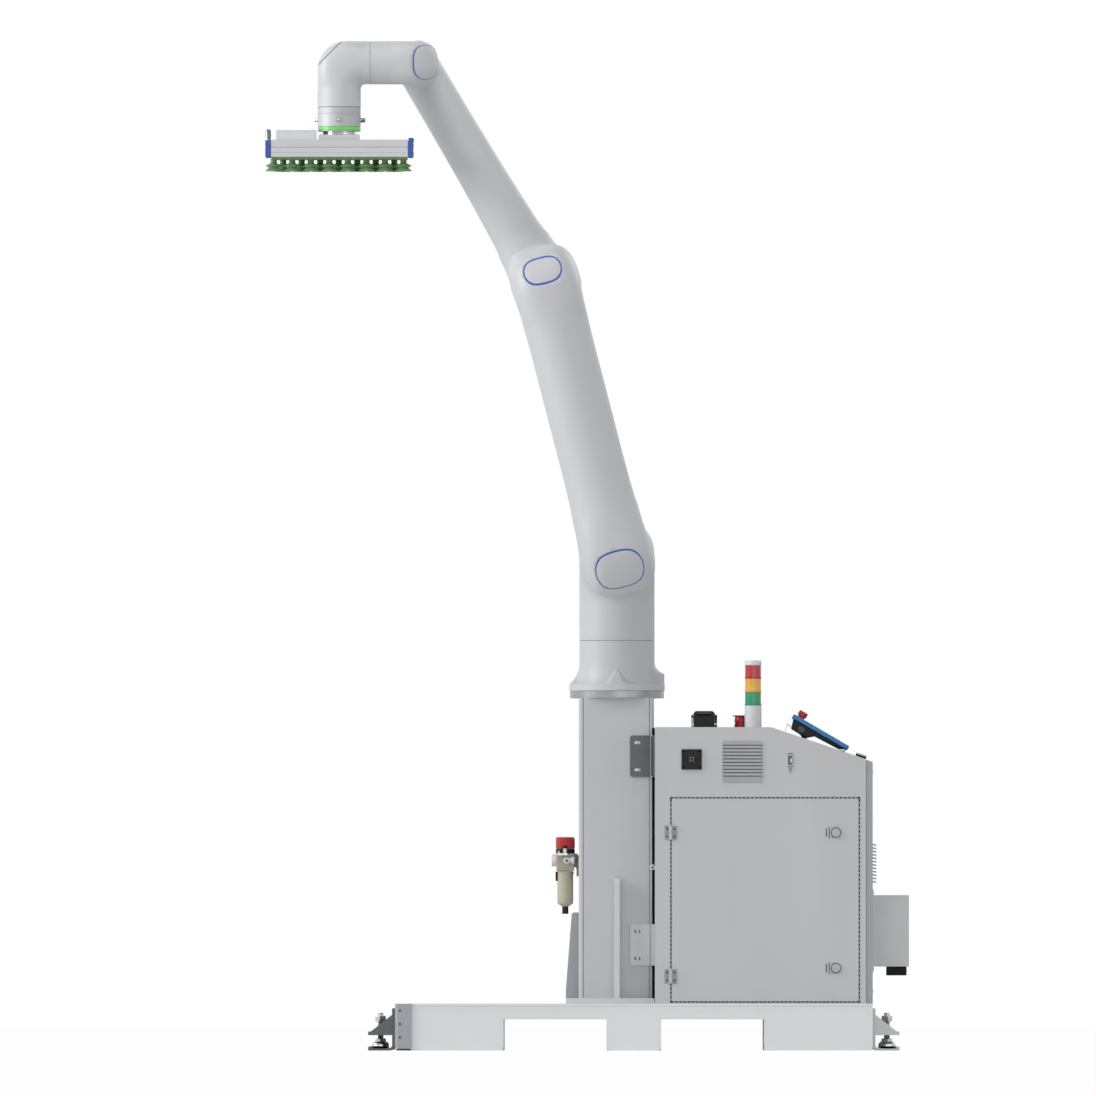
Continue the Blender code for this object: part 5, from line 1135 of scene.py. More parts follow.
FACE = -0.300
DOOR_LEFT, DOOR_RIGHT, DOOR_LOW, DOOR_TOP = 0.1527, 0.6756, 0.1375, 0.7045
HINGE_X, HINGE_Y = DOOR_LEFT - 0.00225, FACE - 0.0045
HINGES = (("lower", 0.2070), ("upper", 0.6086))
LOCKS = (("lower", 0.2304), ("upper", 0.6090))
LOCK_X = DOOR_RIGHT - 0.0633
SHELL_RIGHT, REAR_SHEET = 0.6962, 0.0188
ROOF, EAVES, SLOPE_START = 0.904, 0.8146, 0.4310
SLOPE = (ROOF - EAVES) / (SHELL_RIGHT - SLOPE_START)
BACK = SHELL_RIGHT + REAR_SHEET + 0.0003


def roof_at(x):
    return ROOF - SLOPE * max(0.0, x - SLOPE_START)


def build_hinges():
    for name, middle in HINGES:
        low, high = middle - 0.0195, middle + 0.0195
        for part, body, start, end in (("frame", "base", HINGE_X - 0.0172, HINGE_X - 0.0030),
                                       ("door", "door", HINGE_X + 0.0030, HINGE_X + 0.0172)):
            face = FACE - 0.0027
            solid_piece("hinge_leaf_%s_%s" % (part, name), HINGE_METAL, body, [
                ("box", (start, face, low - 0.0002), (end, FACE + 0.0001, high + 0.0002))], 0.0007)
            spots = [((start + end) / 2, face + 0.0002, z) for z in (low + 0.0085, high - 0.0085)]
            repeat_at("hinge_screws_%s_%s" % (part, name), spots, button_screw(0.0026, 0.0010), DARK_RUBBER,
                      body, FRONT)
            a, b = (low, middle - 0.0003) if part == "frame" else (middle + 0.0003, high)
            solid_piece("hinge_knuckle_%s_%s" % (part, name), SHEET_PAINT, body, [
                ("turned", [(0, a), (0.0038, a), (0.0043, a + 0.0006), (0.0043, b - 0.0006), (0.0038, b),
                            (0, b)], (HINGE_X, HINGE_Y, 0), UP, 28)])


def build_locks():
    for name, z in LOCKS:
        solid_piece("lock_seat_" + name, LOCK_METAL, "door", [
            ("turned", [(0.0092, 0.0000), (0.0138, 0.0000), (0.0143, 0.0006), (0.0143, 0.0034),
                        (0.0138, 0.0040), (0.0122, 0.0040), (0.0117, 0.0034), (0.0117, 0.0024),
                        (0.0092, 0.0024), (0.0086, 0.0018), (0.0086, 0.0000), (0.0092, 0.0000)],
             (LOCK_X, FACE, z), -Y, 64)], smooth=30)
        solid_piece("lock_ring_" + name, DARK_METAL, "door", [
            ("turned", [(0.0115, 0.0020), (0.0144, 0.0002), (0.0149, 0.0002), (0.0149, 0.0010),
                        (0.0145, 0.0038), (0.0140, 0.0044), (0.0122, 0.0044), (0.0115, 0.0036),
                        (0.0115, 0.0020)], (LOCK_X, FACE, z), -Y, 64)], smooth=30)
        dress("door_lock_" + name, LOCK_METAL, 0.0004, 1)
        solid_piece("lock_lever_" + name, LOCK_METAL, "door", [
            ("box", (LOCK_X - 0.0248, FACE - 0.0034, z - 0.0150),
             (LOCK_X - 0.0204, FACE + 0.0002, z + 0.0150)),
            ("box", (LOCK_X - 0.0176, FACE - 0.0022, z - 0.0154),
             (LOCK_X - 0.0120, FACE + 0.0002, z + 0.0154))], 0.0006)
        # Dark strips beside the lever are painted shade in its grooves.
        solid_piece("lock_slot_" + name, DARK_METAL, "door", [
            ("box", (LOCK_X - 0.0286, FACE - 0.0014, z - 0.0112),
             (LOCK_X - 0.0250, FACE + 0.0002, z + 0.0112)),
            ("box", (LOCK_X - 0.0203, FACE - 0.0020, z - 0.0150),
             (LOCK_X - 0.0178, FACE + 0.0002, z + 0.0150))], 0.0008)


def build_cabinet():
    dress("cabinet_shell", SHEET_PAINT, 0.0008)
    dress("cabinet_door", SHEET_PAINT, 0.0006)
    dress("cabinet_back", END_PAINT, 0.0008)
    build_hinges()
    build_locks()
    low, top, wide = DOOR_LOW - 0.0030, DOOR_TOP + 0.0030, 0.0034
    deep = (FACE - 0.0004, FACE + 0.0120)
    left, right = DOOR_LEFT - 0.0006, DOOR_RIGHT + 0.0006
    solid_piece("door_seal", DARK_RUBBER, "base", [
        ("box", (left - wide, deep[0], low), (left, deep[1], top)),
        ("box", (right, deep[0], low), (right + wide, deep[1], top)),
        ("box", (left - wide, deep[0], top - 0.0024), (right + wide, deep[1], top + 0.0010)),
        ("box", (left - wide, deep[0], low - 0.0010), (right + wide, deep[1], low + 0.0024))])
    bead = bmesh.new()
    add_box(bead, (-0.0030, -0.0003, -0.0013), (0.0030, 0.0003, 0.0013))
    bead = mesh_from(bead, "seal_bead")
    for where, z in (("top", top - 0.0006), ("bottom", low + 0.0006)):
        repeat_row("seal_beads_" + where, 44, (left + 0.0080, deep[0], z), (0.0118, 0, 0), bead.copy(),
                   END_PAINT, "base", (0, 0, 0), 0.0)
    bead.transform(Matrix.Rotation(math.radians(90), 4, "Y"))
    for where, x in (("left", left - wide / 2), ("right", right + wide / 2)):
        repeat_row("seal_beads_" + where, 46, (x, deep[0], low + 0.0080), (0, 0, 0.0122), bead.copy(),
                   END_PAINT, "base", (0, 0, 0), 0.0)
    # A black strip fills the gap between column and cabinet.
    solid_piece("column_seal", DARK_RUBBER, "base", [
        ("box", (0.1041, -0.0960, 0.1320), (0.1058, 0.0960, 0.9030))])
    x, z = 0.3510, 0.8070
    bm = bmesh.new()
    add_prism(bm, rounded(0.0560, 0.0580, 0.0034, (x, z)), FACE - 0.0020, FACE - 0.0003)
    settle("grille_plate", bevelled(mesh_from(bm, "grille"), 0.0006, 2, 50), GRILLE_PAINT, "base", 40,
           ("vent_grille",))
    blade = bmesh.new()
    add_prism(blade, [(-0.0006, -0.0034), (-0.0024, -0.0036), (-0.0026, -0.0030), (-0.0010, 0.0040),
                      (-0.0006, 0.0040)], -0.0552, 0.0552, "YZ")
    # Black strips between the blades are painted shade in the grille's slots.
    gap = bmesh.new()
    add_box(gap, (-0.0550, -0.0007, -0.0007), (0.0550, 0.0004, 0.0007))
    low = z - 0.0582 + 0.0182
    repeat_row("grille_blades", 10, (x, FACE - 0.0012, low + 0.0048), (0, 0, 0.0096),
               mesh_from(blade, "blade"), GRILLE_PAINT, "base")
    repeat_row("grille_gaps", 10, (x, FACE - 0.0022, low), (0, 0, 0.0096), mesh_from(gap, "gap"),
               DARK_RUBBER, "base")
    build_louvre()
    build_service_port()
    build_latch()
    low, high = (Vector(v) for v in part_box("junction_box"))
    case_low = BOX_LEVEL - 0.1000
    solid_piece("junction_case", RIB_PAINT, "base", [
        ("box", (BACK, -0.150, BOX_LEVEL - 0.117), (BACK + 0.0030, 0.150, BOX_LEVEL + 0.117)),
        ("box", (BACK + 0.0010, -0.130, case_low), (high.x - 0.0008, 0.130, case_low + 0.200))], 0.0012,
                ("junction_box",), 3)
    solid_piece("junction_cover_seam", DARK_PLATE, "base", [
        ("box", (high.x - 0.0024, -0.1302, case_low - 0.0001),
         (high.x - 0.0018, 0.1302, case_low + 0.2001))])
    spots = [(BACK + 0.0028, y, z) for y in (-0.140, 0.140)
             for z in (BOX_LEVEL - 0.107, BOX_LEVEL + 0.107)]
    repeat_at("junction_plate_screws", spots, button_screw(0.0044, 0.0024), ZINC, "base", RIGHT)
    spots = [(high.x - 0.0010, y, z) for y in (-0.118, 0.118) for z in (case_low + 0.012, case_low + 0.188)]
    repeat_at("junction_cover_screws", spots, button_screw(0.0040, 0.0009), ZINC, "base", RIGHT)
    end = high.x - 0.006
    solid_piece("mains_inlet", BLACK, "base", [
        ("box", (end - 0.057, -0.030, case_low - 0.0250), (end, 0.030, case_low + 0.0010))], 0.0020)
    spots = [(SHELL_RIGHT + REAR_SHEET - 0.0001, y, z) for y in (-0.280, 0.280)
             for z in (0.165, 0.470, 0.780)]
    repeat_at("rear_panel_screws", spots, button_screw(0.0044, 0.0022), ZINC, "base", RIGHT)
    build_inside()


def build_louvre():
    """Raised blades on the back wall, at the level that the photograph shows."""
    low, high = (Vector(v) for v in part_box("back_louvre"))
    y, middle = (low.y + high.y) / 2, 0.5237
    half = (high.y - low.y) / 2
    solid_piece("louvre_plate", END_PAINT, "base", [
        ("box", (BACK, y - half, middle - 0.0570), (BACK + 0.0016, y + half, middle + 0.0570))], 0.0006,
        ("back_louvre",))
    blade = bmesh.new()
    add_prism(blade, [(0, 0.0034), (0.0098, 0.0020), (0.0106, 0.0006), (0.0106, -0.0030), (0.0094, -0.0030),
                      (0.0090, -0.0006), (0, -0.0006)], -half + 0.0020, half - 0.0020)
    repeat_row("louvre_blades", 12, (BACK + 0.0010, y, middle - 0.0517), (0, 0, 0.0094),
               bevelled(mesh_from(blade, "louvre_blade"), 0.0004, 1, 40), END_PAINT, "base")


def build_service_port():
    x, z = 0.2089, 0.8136
    half, front = 0.0283, FACE - 0.0063
    solid_piece("service_port_plate", BLACK, "base", [
        ("box", (x - half, front + 0.0012, z - half), (x + half, FACE - 0.0003, z + half))], 0.0008,
                ("service_port",))
    tiles = [("box", (x + a, front, z + b), (x + a + half - 0.0012, front + 0.0020, z + b + half - 0.0012))
             for a in (-half + 0.0006, 0.0006) for b in (-half + 0.0006, 0.0006)]
    solid_piece("service_port_tiles", BLACK, "base", tiles, 0.0006)
    bm = bmesh.new()
    add_turned(bm, [(0.0042, -0.0010), (0.0058, -0.0010), (0.0058, 0.0004), (0.0042, 0.0004),
                    (0.0042, -0.0010)], (x, front, z), -Y, 36)
    for a, b in ((1, 1), (1, -1), (-1, 1), (-1, -1)):
        add_rod(bm, 0.0006, (x + a * 0.0040, front - 0.0002, z + b * 0.0040),
                (x + a * 0.0072, front - 0.0002, z + b * 0.0072), 10)
    put("service_port_button", bm, GREY_PLASTIC, "base", 30)
    spots = [(x + a * 0.0222, front + 0.0001, z + b * 0.0222) for a in (-1, 1) for b in (-1, 1)]
    repeat_at("service_port_screws", spots, button_screw(0.0032, 0.0012), DARK_RUBBER, "base", FRONT)


def build_latch():
    x, z = 0.4853, 0.8030
    front = FACE - 0.0003
    solid_piece("latch_plate", DARK_METAL, "base", [
        ("box", (x - 0.0070, front - 0.0016, z - 0.0100), (x + 0.0068, front, z + 0.0280))], 0.0005,
                ("side_latch",))
    solid_piece("latch_frame", LOCK_METAL, "base", [
        ("box", (x - 0.0062, front - 0.0040, z + 0.0215), (x + 0.0060, front - 0.0012, z + 0.0250)),
        ("box", (x + 0.0044, front - 0.0040, z - 0.0060), (x + 0.0062, front - 0.0012, z + 0.0240)),
        ("box", (x - 0.0062, front - 0.0034, z - 0.0082), (x + 0.0062, front - 0.0012, z - 0.0050))],
                0.0005)
    solid_piece("latch_lever", STEEL, "base", [
        ("box", (x - 0.0004, front - 0.0046, z + 0.0020), (x + 0.0028, front - 0.0012, z + 0.0130))],
                0.0006)
    solid_piece("latch_hook", HINGE_METAL, "base", [
        ("box", (x - 0.0040, front - 0.0030, z - 0.0200), (x + 0.0024, front, z - 0.0100)),
        ("box", (x - 0.0024, front - 0.0028, z - 0.0270), (x + 0.0010, front, z - 0.0190)),
        ("rod", 0.0016, (x - 0.0046, front - 0.0034, z - 0.0150), (x + 0.0034, front - 0.0034, z - 0.0150),
         12)], 0.0005)


def build_inside():
    """What shows when the door is open: plate, breakers with their toggles, controller, trunking."""
    dress("mounting_plate", ZINC, 0.0004, 1)
    dress("robot_controller", GREY_PLASTIC, 0.0010)
    front = 0.300 - 0.003 - 0.0003 - 0.022
    body = bmesh.new()
    add_box(body, (-0.0168, -0.0705, -0.0402), (0.0168, -0.0150, 0.0402))
    start = (0.232, front, 0.600)
    repeat_row("breaker_cases", 9, start, (0.040, 0, 0), bevelled(mesh_from(body, "breaker"), 0.0012, 2),
               PALE, "base")
    toggle = bmesh.new()
    add_box(toggle, (-0.0060, -0.0790, -0.0050), (0.0060, -0.0700, 0.0070))
    repeat_row("breaker_toggles", 9, start, (0.040, 0, 0), bevelled(mesh_from(toggle, "toggle"), 0.0012, 2),
               BLACK, "base")
    solid_piece("wire_duct", GREY_PLASTIC, "base", [
        ("box", (0.200, front - 0.0500, 0.4950), (0.590, front - 0.0003, 0.5250))], 0.0010)
    # Black strips on the controller stand for its vent slots as painted shade.
    vent = bmesh.new()
    add_box(vent, (-0.0500, -0.0003, -0.0015), (0.0500, 0.0006, 0.0015))
    repeat_row("controller_vents", 12, (0.300, -0.1102, 0.2100), (0, 0, 0.0110), mesh_from(vent, "vent"),
               DARK_RUBBER, "base")
    solid_piece("controller_socket", BLACK, "base", [
        ("box", (0.4200, -0.1150, 0.2100), (0.5200, -0.1098, 0.2700)),
        ("rod", 0.0170, (0.4450, -0.1170, 0.3300), (0.4450, -0.1098, 0.3300), 32),
        ("rod", 0.0170, (0.4950, -0.1170, 0.3300), (0.4950, -0.1098, 0.3300), 32)], 0.0008)


build_cabinet()


# ---- devices on the cabinet and column ------------------------------------

def build_connector():
    """A cable hood with a domed top and a locking lever on either side."""
    x, y, base, half = 0.2440, -0.180, ROOF + 0.0003, 0.0295
    deep = 0.0450
    bm = bmesh.new()
    outline = [(x - half, base), (x + half, base), (x + half, base + 0.0310)]
    outline += corner_arc((x + half - 0.0090, base + 0.0360), 0.0090, 0, 90, 8)
    outline += corner_arc((x - half + 0.0090, base + 0.0360), 0.0090, 90, 180, 8) + [
        (x - half, base + 0.0310)]
    add_prism(bm, outline, y - deep, y + deep)
    out = bmesh.new()
    add_prism(out, rounded(0.0200, 0.0042, 0.0040, (x, base + 0.0366)), y - 0.06, y - deep + 0.0260)
    mesh = carve(bevelled(mesh_from(bm, "hood"), 0.0016, 3, 40), mesh_from(out, "hood_out"), "hood")
    settle("connector_hood", mesh, BLACK, "base", 30, ("top_connector",))
    dome = [(x + half - 0.0022, base + 0.0374)]
    dome += corner_arc((x + half - 0.0090, base + 0.0363), 0.0092, 20, 90, 8)
    dome += corner_arc((x - half + 0.0090, base + 0.0363), 0.0092, 90, 160, 8) + [
        (x - half + 0.0022, base + 0.0374)]
    prism_piece("connector_dome", GLOSS_BLACK, "base", dome, y - deep + 0.0004, y + deep - 0.0004, "XZ",
                0.0008)
    solid_piece("connector_saddle", BLACK, "base", [
        ("box", (x - half - 0.0014, y - deep - 0.0010, base + 0.0272),
         (x + half + 0.0014, y + deep + 0.0010, base + 0.0302))], 0.0010)
    for side, which, finish in ((-1, "left", LOCK_METAL), (1, "right", BLACK)):
        near, far = sorted((x + side * (half + 0.0004), x + side * (half + 0.0068)))
        shapes = [("box", (near, y + start, base + 0.0118), (far, y + start + 0.0150, base + 0.0345))
                  for start in (-0.0400, 0.0250)]
        shapes += [("box", (near, y - 0.0400, base + 0.0260), (far, y + 0.0400, base + 0.0345)),
                   ("box", (near, y - 0.0420, base + 0.0004), (far, y + 0.0420, base + 0.0066)),
                   ("rod", 0.0040, (near + 0.0014, y - 0.0325, base + 0.0070),
                    (far - 0.0014, y - 0.0325, base + 0.0070), 24)]
        solid_piece("connector_lever_" + which, finish, "base", shapes, 0.0010)
        edge = [(x + side * (half - 0.0004), base + 0.0350), (x + side * (half + 0.0022), base + 0.0350),
                (x + side * (half - 0.0046), base + 0.0448), (x + side * (half - 0.0072), base + 0.0440)]
        prism_piece("connector_clasp_" + which, finish, "base", edge if side > 0 else edge[::-1],
                    y - 0.0405, y + 0.0405, "XZ", 0.0006)


def build_signals():
    base = ROOF + 0.0003
    at = (0.3494, -0.130, base)
    solid_piece("stop_collar_turned", RED, "base", [
        ("turned", [(0, 0.0200), (0.0192, 0.0200), (0.0192, 0.0112), (0.0202, 0.0108), (0.0207, 0.0100),
                    (0.0207, 0.0060), (0.0201, 0.0056), (0.0201, 0.0048), (0.0208, 0.0044),
                    (0.0210, 0.0000), (0, 0.0000)], at, UP, 64)], smooth=30, replaces=("stop_collar",))
    solid_piece("stop_button_turned", RED, "emergency_stop", [
        ("turned", [(0, 0.0190), (0.0200, 0.0190), (0.0250, 0.0188), (0.0260, 0.0180), (0.0260, 0.0162),
                    (0.0250, 0.0156), (0.0200, 0.0152), (0.0186, 0.0146), (0.0196, 0.0090),
                    (0.0207, 0.0030), (0.0207, 0), (0.0196, 0), (0.0196, 0.0104), (0, 0.0104)],
         (at[0], at[1], base + 0.0153), UP, 64)], smooth=30, replaces=("stop_button",))
    x, y, r = 0.3810, -0.200, 0.0235
    solid_piece("stack_base", PALE, "base", [
        ("turned", [(0, 0.0610), (r - 0.0008, 0.0610), (r, 0.0602), (r, 0.0010), (r - 0.0006, 0), (0, 0)],
         (x, y, base), UP, 72)], smooth=30, replaces=("stack_light_base",))
    for i, name in enumerate(("green", "amber", "red")):
        z = base + 0.0613 + i * 0.0375
        bm = bmesh.new()
        flutes = []
        top = 0.0375 - 0.0003
        for radius, height in ((0, 0), (r - 0.0004, 0), (r, 0.0008), (r, 0.0052), (r - 0.0011, 0.0058),
                               (r - 0.0011, top - 0.0006), (r - 0.0016, top), (0, top)):
            row = []
            for k in range(96):
                a = 2 * math.pi * k / 96
                grow = radius * (1 + (0.004 * math.cos(a * 24) if 0.0055 < height < top - 0.0001 else 0))
                row.append(bm.verts.new((x + grow * math.cos(a), y + grow * math.sin(a), z + height)))
                if radius == 0:
                    break
            flutes.append(row)
        skin(bm, flutes)
        put("stack_lens_cover_" + name, bm, LENSES[name], "base", 30, ("stack_lens_" + name,))
    bm = bmesh.new()
    z = base + 0.0613 + 0.1125
    add_turned(bm, [(0, 0.0134), (r * 0.84, 0.0134), (r * 0.95, 0.0124), (r, 0.0100), (r, 0.0004),
                    (r - 0.0004, 0), (0, 0)], (x, y, z), UP, 72)
    put("stack_cap", bm, PALE, "base", 30, ("stack_light_cap",))


def build_pendant():
    tilt = math.radians(30.3)
    px, pz, y = 0.5734, 0.8968, -0.060
    along, up = Vector((math.cos(tilt), 0, -math.sin(tilt))), Vector((math.sin(tilt), 0, math.cos(tilt)))
    turn = Matrix((along, Y, up)).transposed().to_4x4()
    place = Matrix.Translation((px, y, pz)) @ turn
    spin = tuple(turn.to_euler())

    def slanted(name, shapes, finish, body, bevel=0.0, replaces=(), segments=2):
        bm = shaped(shapes)
        bmesh.ops.transform(bm, matrix=place, verts=bm.verts)
        mesh = mesh_from(bm, name)
        if bevel:
            mesh = bevelled(mesh, bevel, segments)
        return settle(name, mesh, finish, body, 40, replaces)

    bm = bmesh.new()
    add_prism(bm, rounded(0.0900, 0.1300, 0.0100), -0.0125, 0.0, "XY")
    out = bmesh.new()
    add_rod(out, 0.0063, (-0.0680, -0.0950, -0.0070), (-0.0680, -0.0950, 0.0100), 32)
    add_prism(out, rounded(0.0560, 0.0950, 0.0040, (0.0140, 0.0100)), -0.0012, 0.0100, "XY")
    mesh = carve(bevelled(mesh_from(bm, "shell"), 0.0028, 3, 50), mesh_from(out, "shell_out"), "shell")
    mesh.transform(place)
    settle("pendant_shell", mesh, BLUE, "pendant", 40, ("pendant_frame",))
    slanted("pendant_screen", [("box", (-0.0415, -0.0845, -0.0012), (0.0695, 0.1045, -0.0005))],
            GLASS_BLACK, "pendant", 0.0002)
    key = bmesh.new()
    add_box(key, (-0.0050, -0.0100, -0.0005), (0.0050, 0.0100, 0.0012))
    keys = bevelled(mesh_from(key, "key"), 0.0008, 2)
    start, step = place @ Vector((-0.0680, -0.0450, 0.0)), turn.to_3x3() @ Vector((0, 0.0340, 0))
    repeat_row("pendant_keys", 5, start, step, keys, GREY_PLASTIC, "pendant", spin)
    dress("pendant_body", BLACK, 0.0016, 3)
    shape = Matrix.Translation(Vector((px, y, pz)) - along * 0.0500 - up * 0.0270)
    side = y - 0.130 + 0.008
    centre = shape.translation
    solid_piece("pendant_side_knob", KNOB_PLASTIC, "pendant", [
        ("turned", [(0, 0.0010), (0.0100, 0.0010), (0.0100, -0.0002), (0.0080, -0.0016), (0.0056, -0.0016),
                    (0.0050, -0.0004), (0, -0.0004)], (centre.x, side, centre.z), Y, 40)], smooth=30)
    bm = bmesh.new()
    seat = Vector((px, y, pz)) + along * (-0.0680) + up * 0.0003
    place_stop = (seat.x, -0.060 - 0.130 + 0.035, seat.z)
    add_turned(bm, [(0, 0.0188), (0.0104, 0.0188), (0.0122, 0.0182), (0.0130, 0.0170), (0.0132, 0.0150),
                    (0.0132, 0.0052), (0.0126, 0.0042), (0.0108, 0.0042), (0.0108, 0.0120),
                    (0.0060, 0.0120), (0.0060, -0.0020), (0, -0.0020)], place_stop, up, 56)
    put("pendant_stop_turned", bm, RED, "pendant_emergency_stop", 30, ("pendant_stop",))
    solid_piece("pendant_stop_guard", RED, "pendant", [
        ("turned", [(0.0066, -0.0002), (0.0102, -0.0002), (0.0102, 0.0066), (0.0096, 0.0074),
                    (0.0066, 0.0074), (0.0066, -0.0002)], place_stop, up, 48)], smooth=30)
    build_cradle(along, up, (px, pz), y)


def build_cradle(along, up, level, y):
    """The bent sheet that holds the pendant, its foot and rest, and the small cover below it."""
    x, z = level

    def spot(p, q):
        return (x + along.x * p + up.x * q, z + along.z * p + up.z * q)

    def lying(a, rise):
        return (a, roof_at(a) + rise)

    bends = [lying(0.6320, 0.0006), lying(0.4700, 0.0006), (0.4774, 0.9156), (0.4951, 0.9019),
             (0.5166, 0.8828)]
    bm = bmesh.new()
    for (x_1, z_1), (x_2, z_2) in zip(bends, bends[1:]):
        far = math.hypot(x_2 - x_1, z_2 - z_1)
        thick_x, thick_z = (z_2 - z_1) / far * 0.0012, (x_1 - x_2) / far * 0.0012
        add_prism(bm, [(x_1, z_1), (x_2, z_2), (x_2 + thick_x, z_2 + thick_z),
                       (x_1 + thick_x, z_1 + thick_z)], y - 0.0500, y + 0.0500)
    put("pendant_holder", bm, HOLDER_SHEET, "base", 30, ("pendant_cradle",))
    start, end = 0.5166, 0.5315
    prism_piece("holder_foot", BLACK, "base", [lying(start, 0.0020), lying(end, 0.0020), lying(end, 0.0090),
                                               lying(start, 0.0090)], y - 0.0460, y + 0.0460, "XZ", 0.0006)
    tip = [lying(0.6180, 0.0020), lying(0.6380, 0.0020), (0.6440, 0.8530), (0.6424, 0.8540),
           (0.6360, 0.8400)]
    prism_piece("pendant_rest", HOLDER_SHEET, "base", tip, y - 0.0460, y + 0.0460, "XZ", 0.0003)
    start, end = 0.6702, 0.6985
    prism_piece("slope_cover", BLACK, "base", [lying(start, 0.0003), lying(end, 0.0003), lying(end, 0.0083),
                                               lying(start, 0.0080)], -0.0600, 0.0600, "XZ", 0.0008)
    prism_piece("slope_cover_lid", ZINC, "base",
                [lying(start + 0.0002, 0.0083), lying(end + 0.0020, 0.0086), lying(end + 0.0024, 0.0136),
                 lying(start + 0.0030, 0.0132)], -0.0604, 0.0604, "XZ", 0.0006)


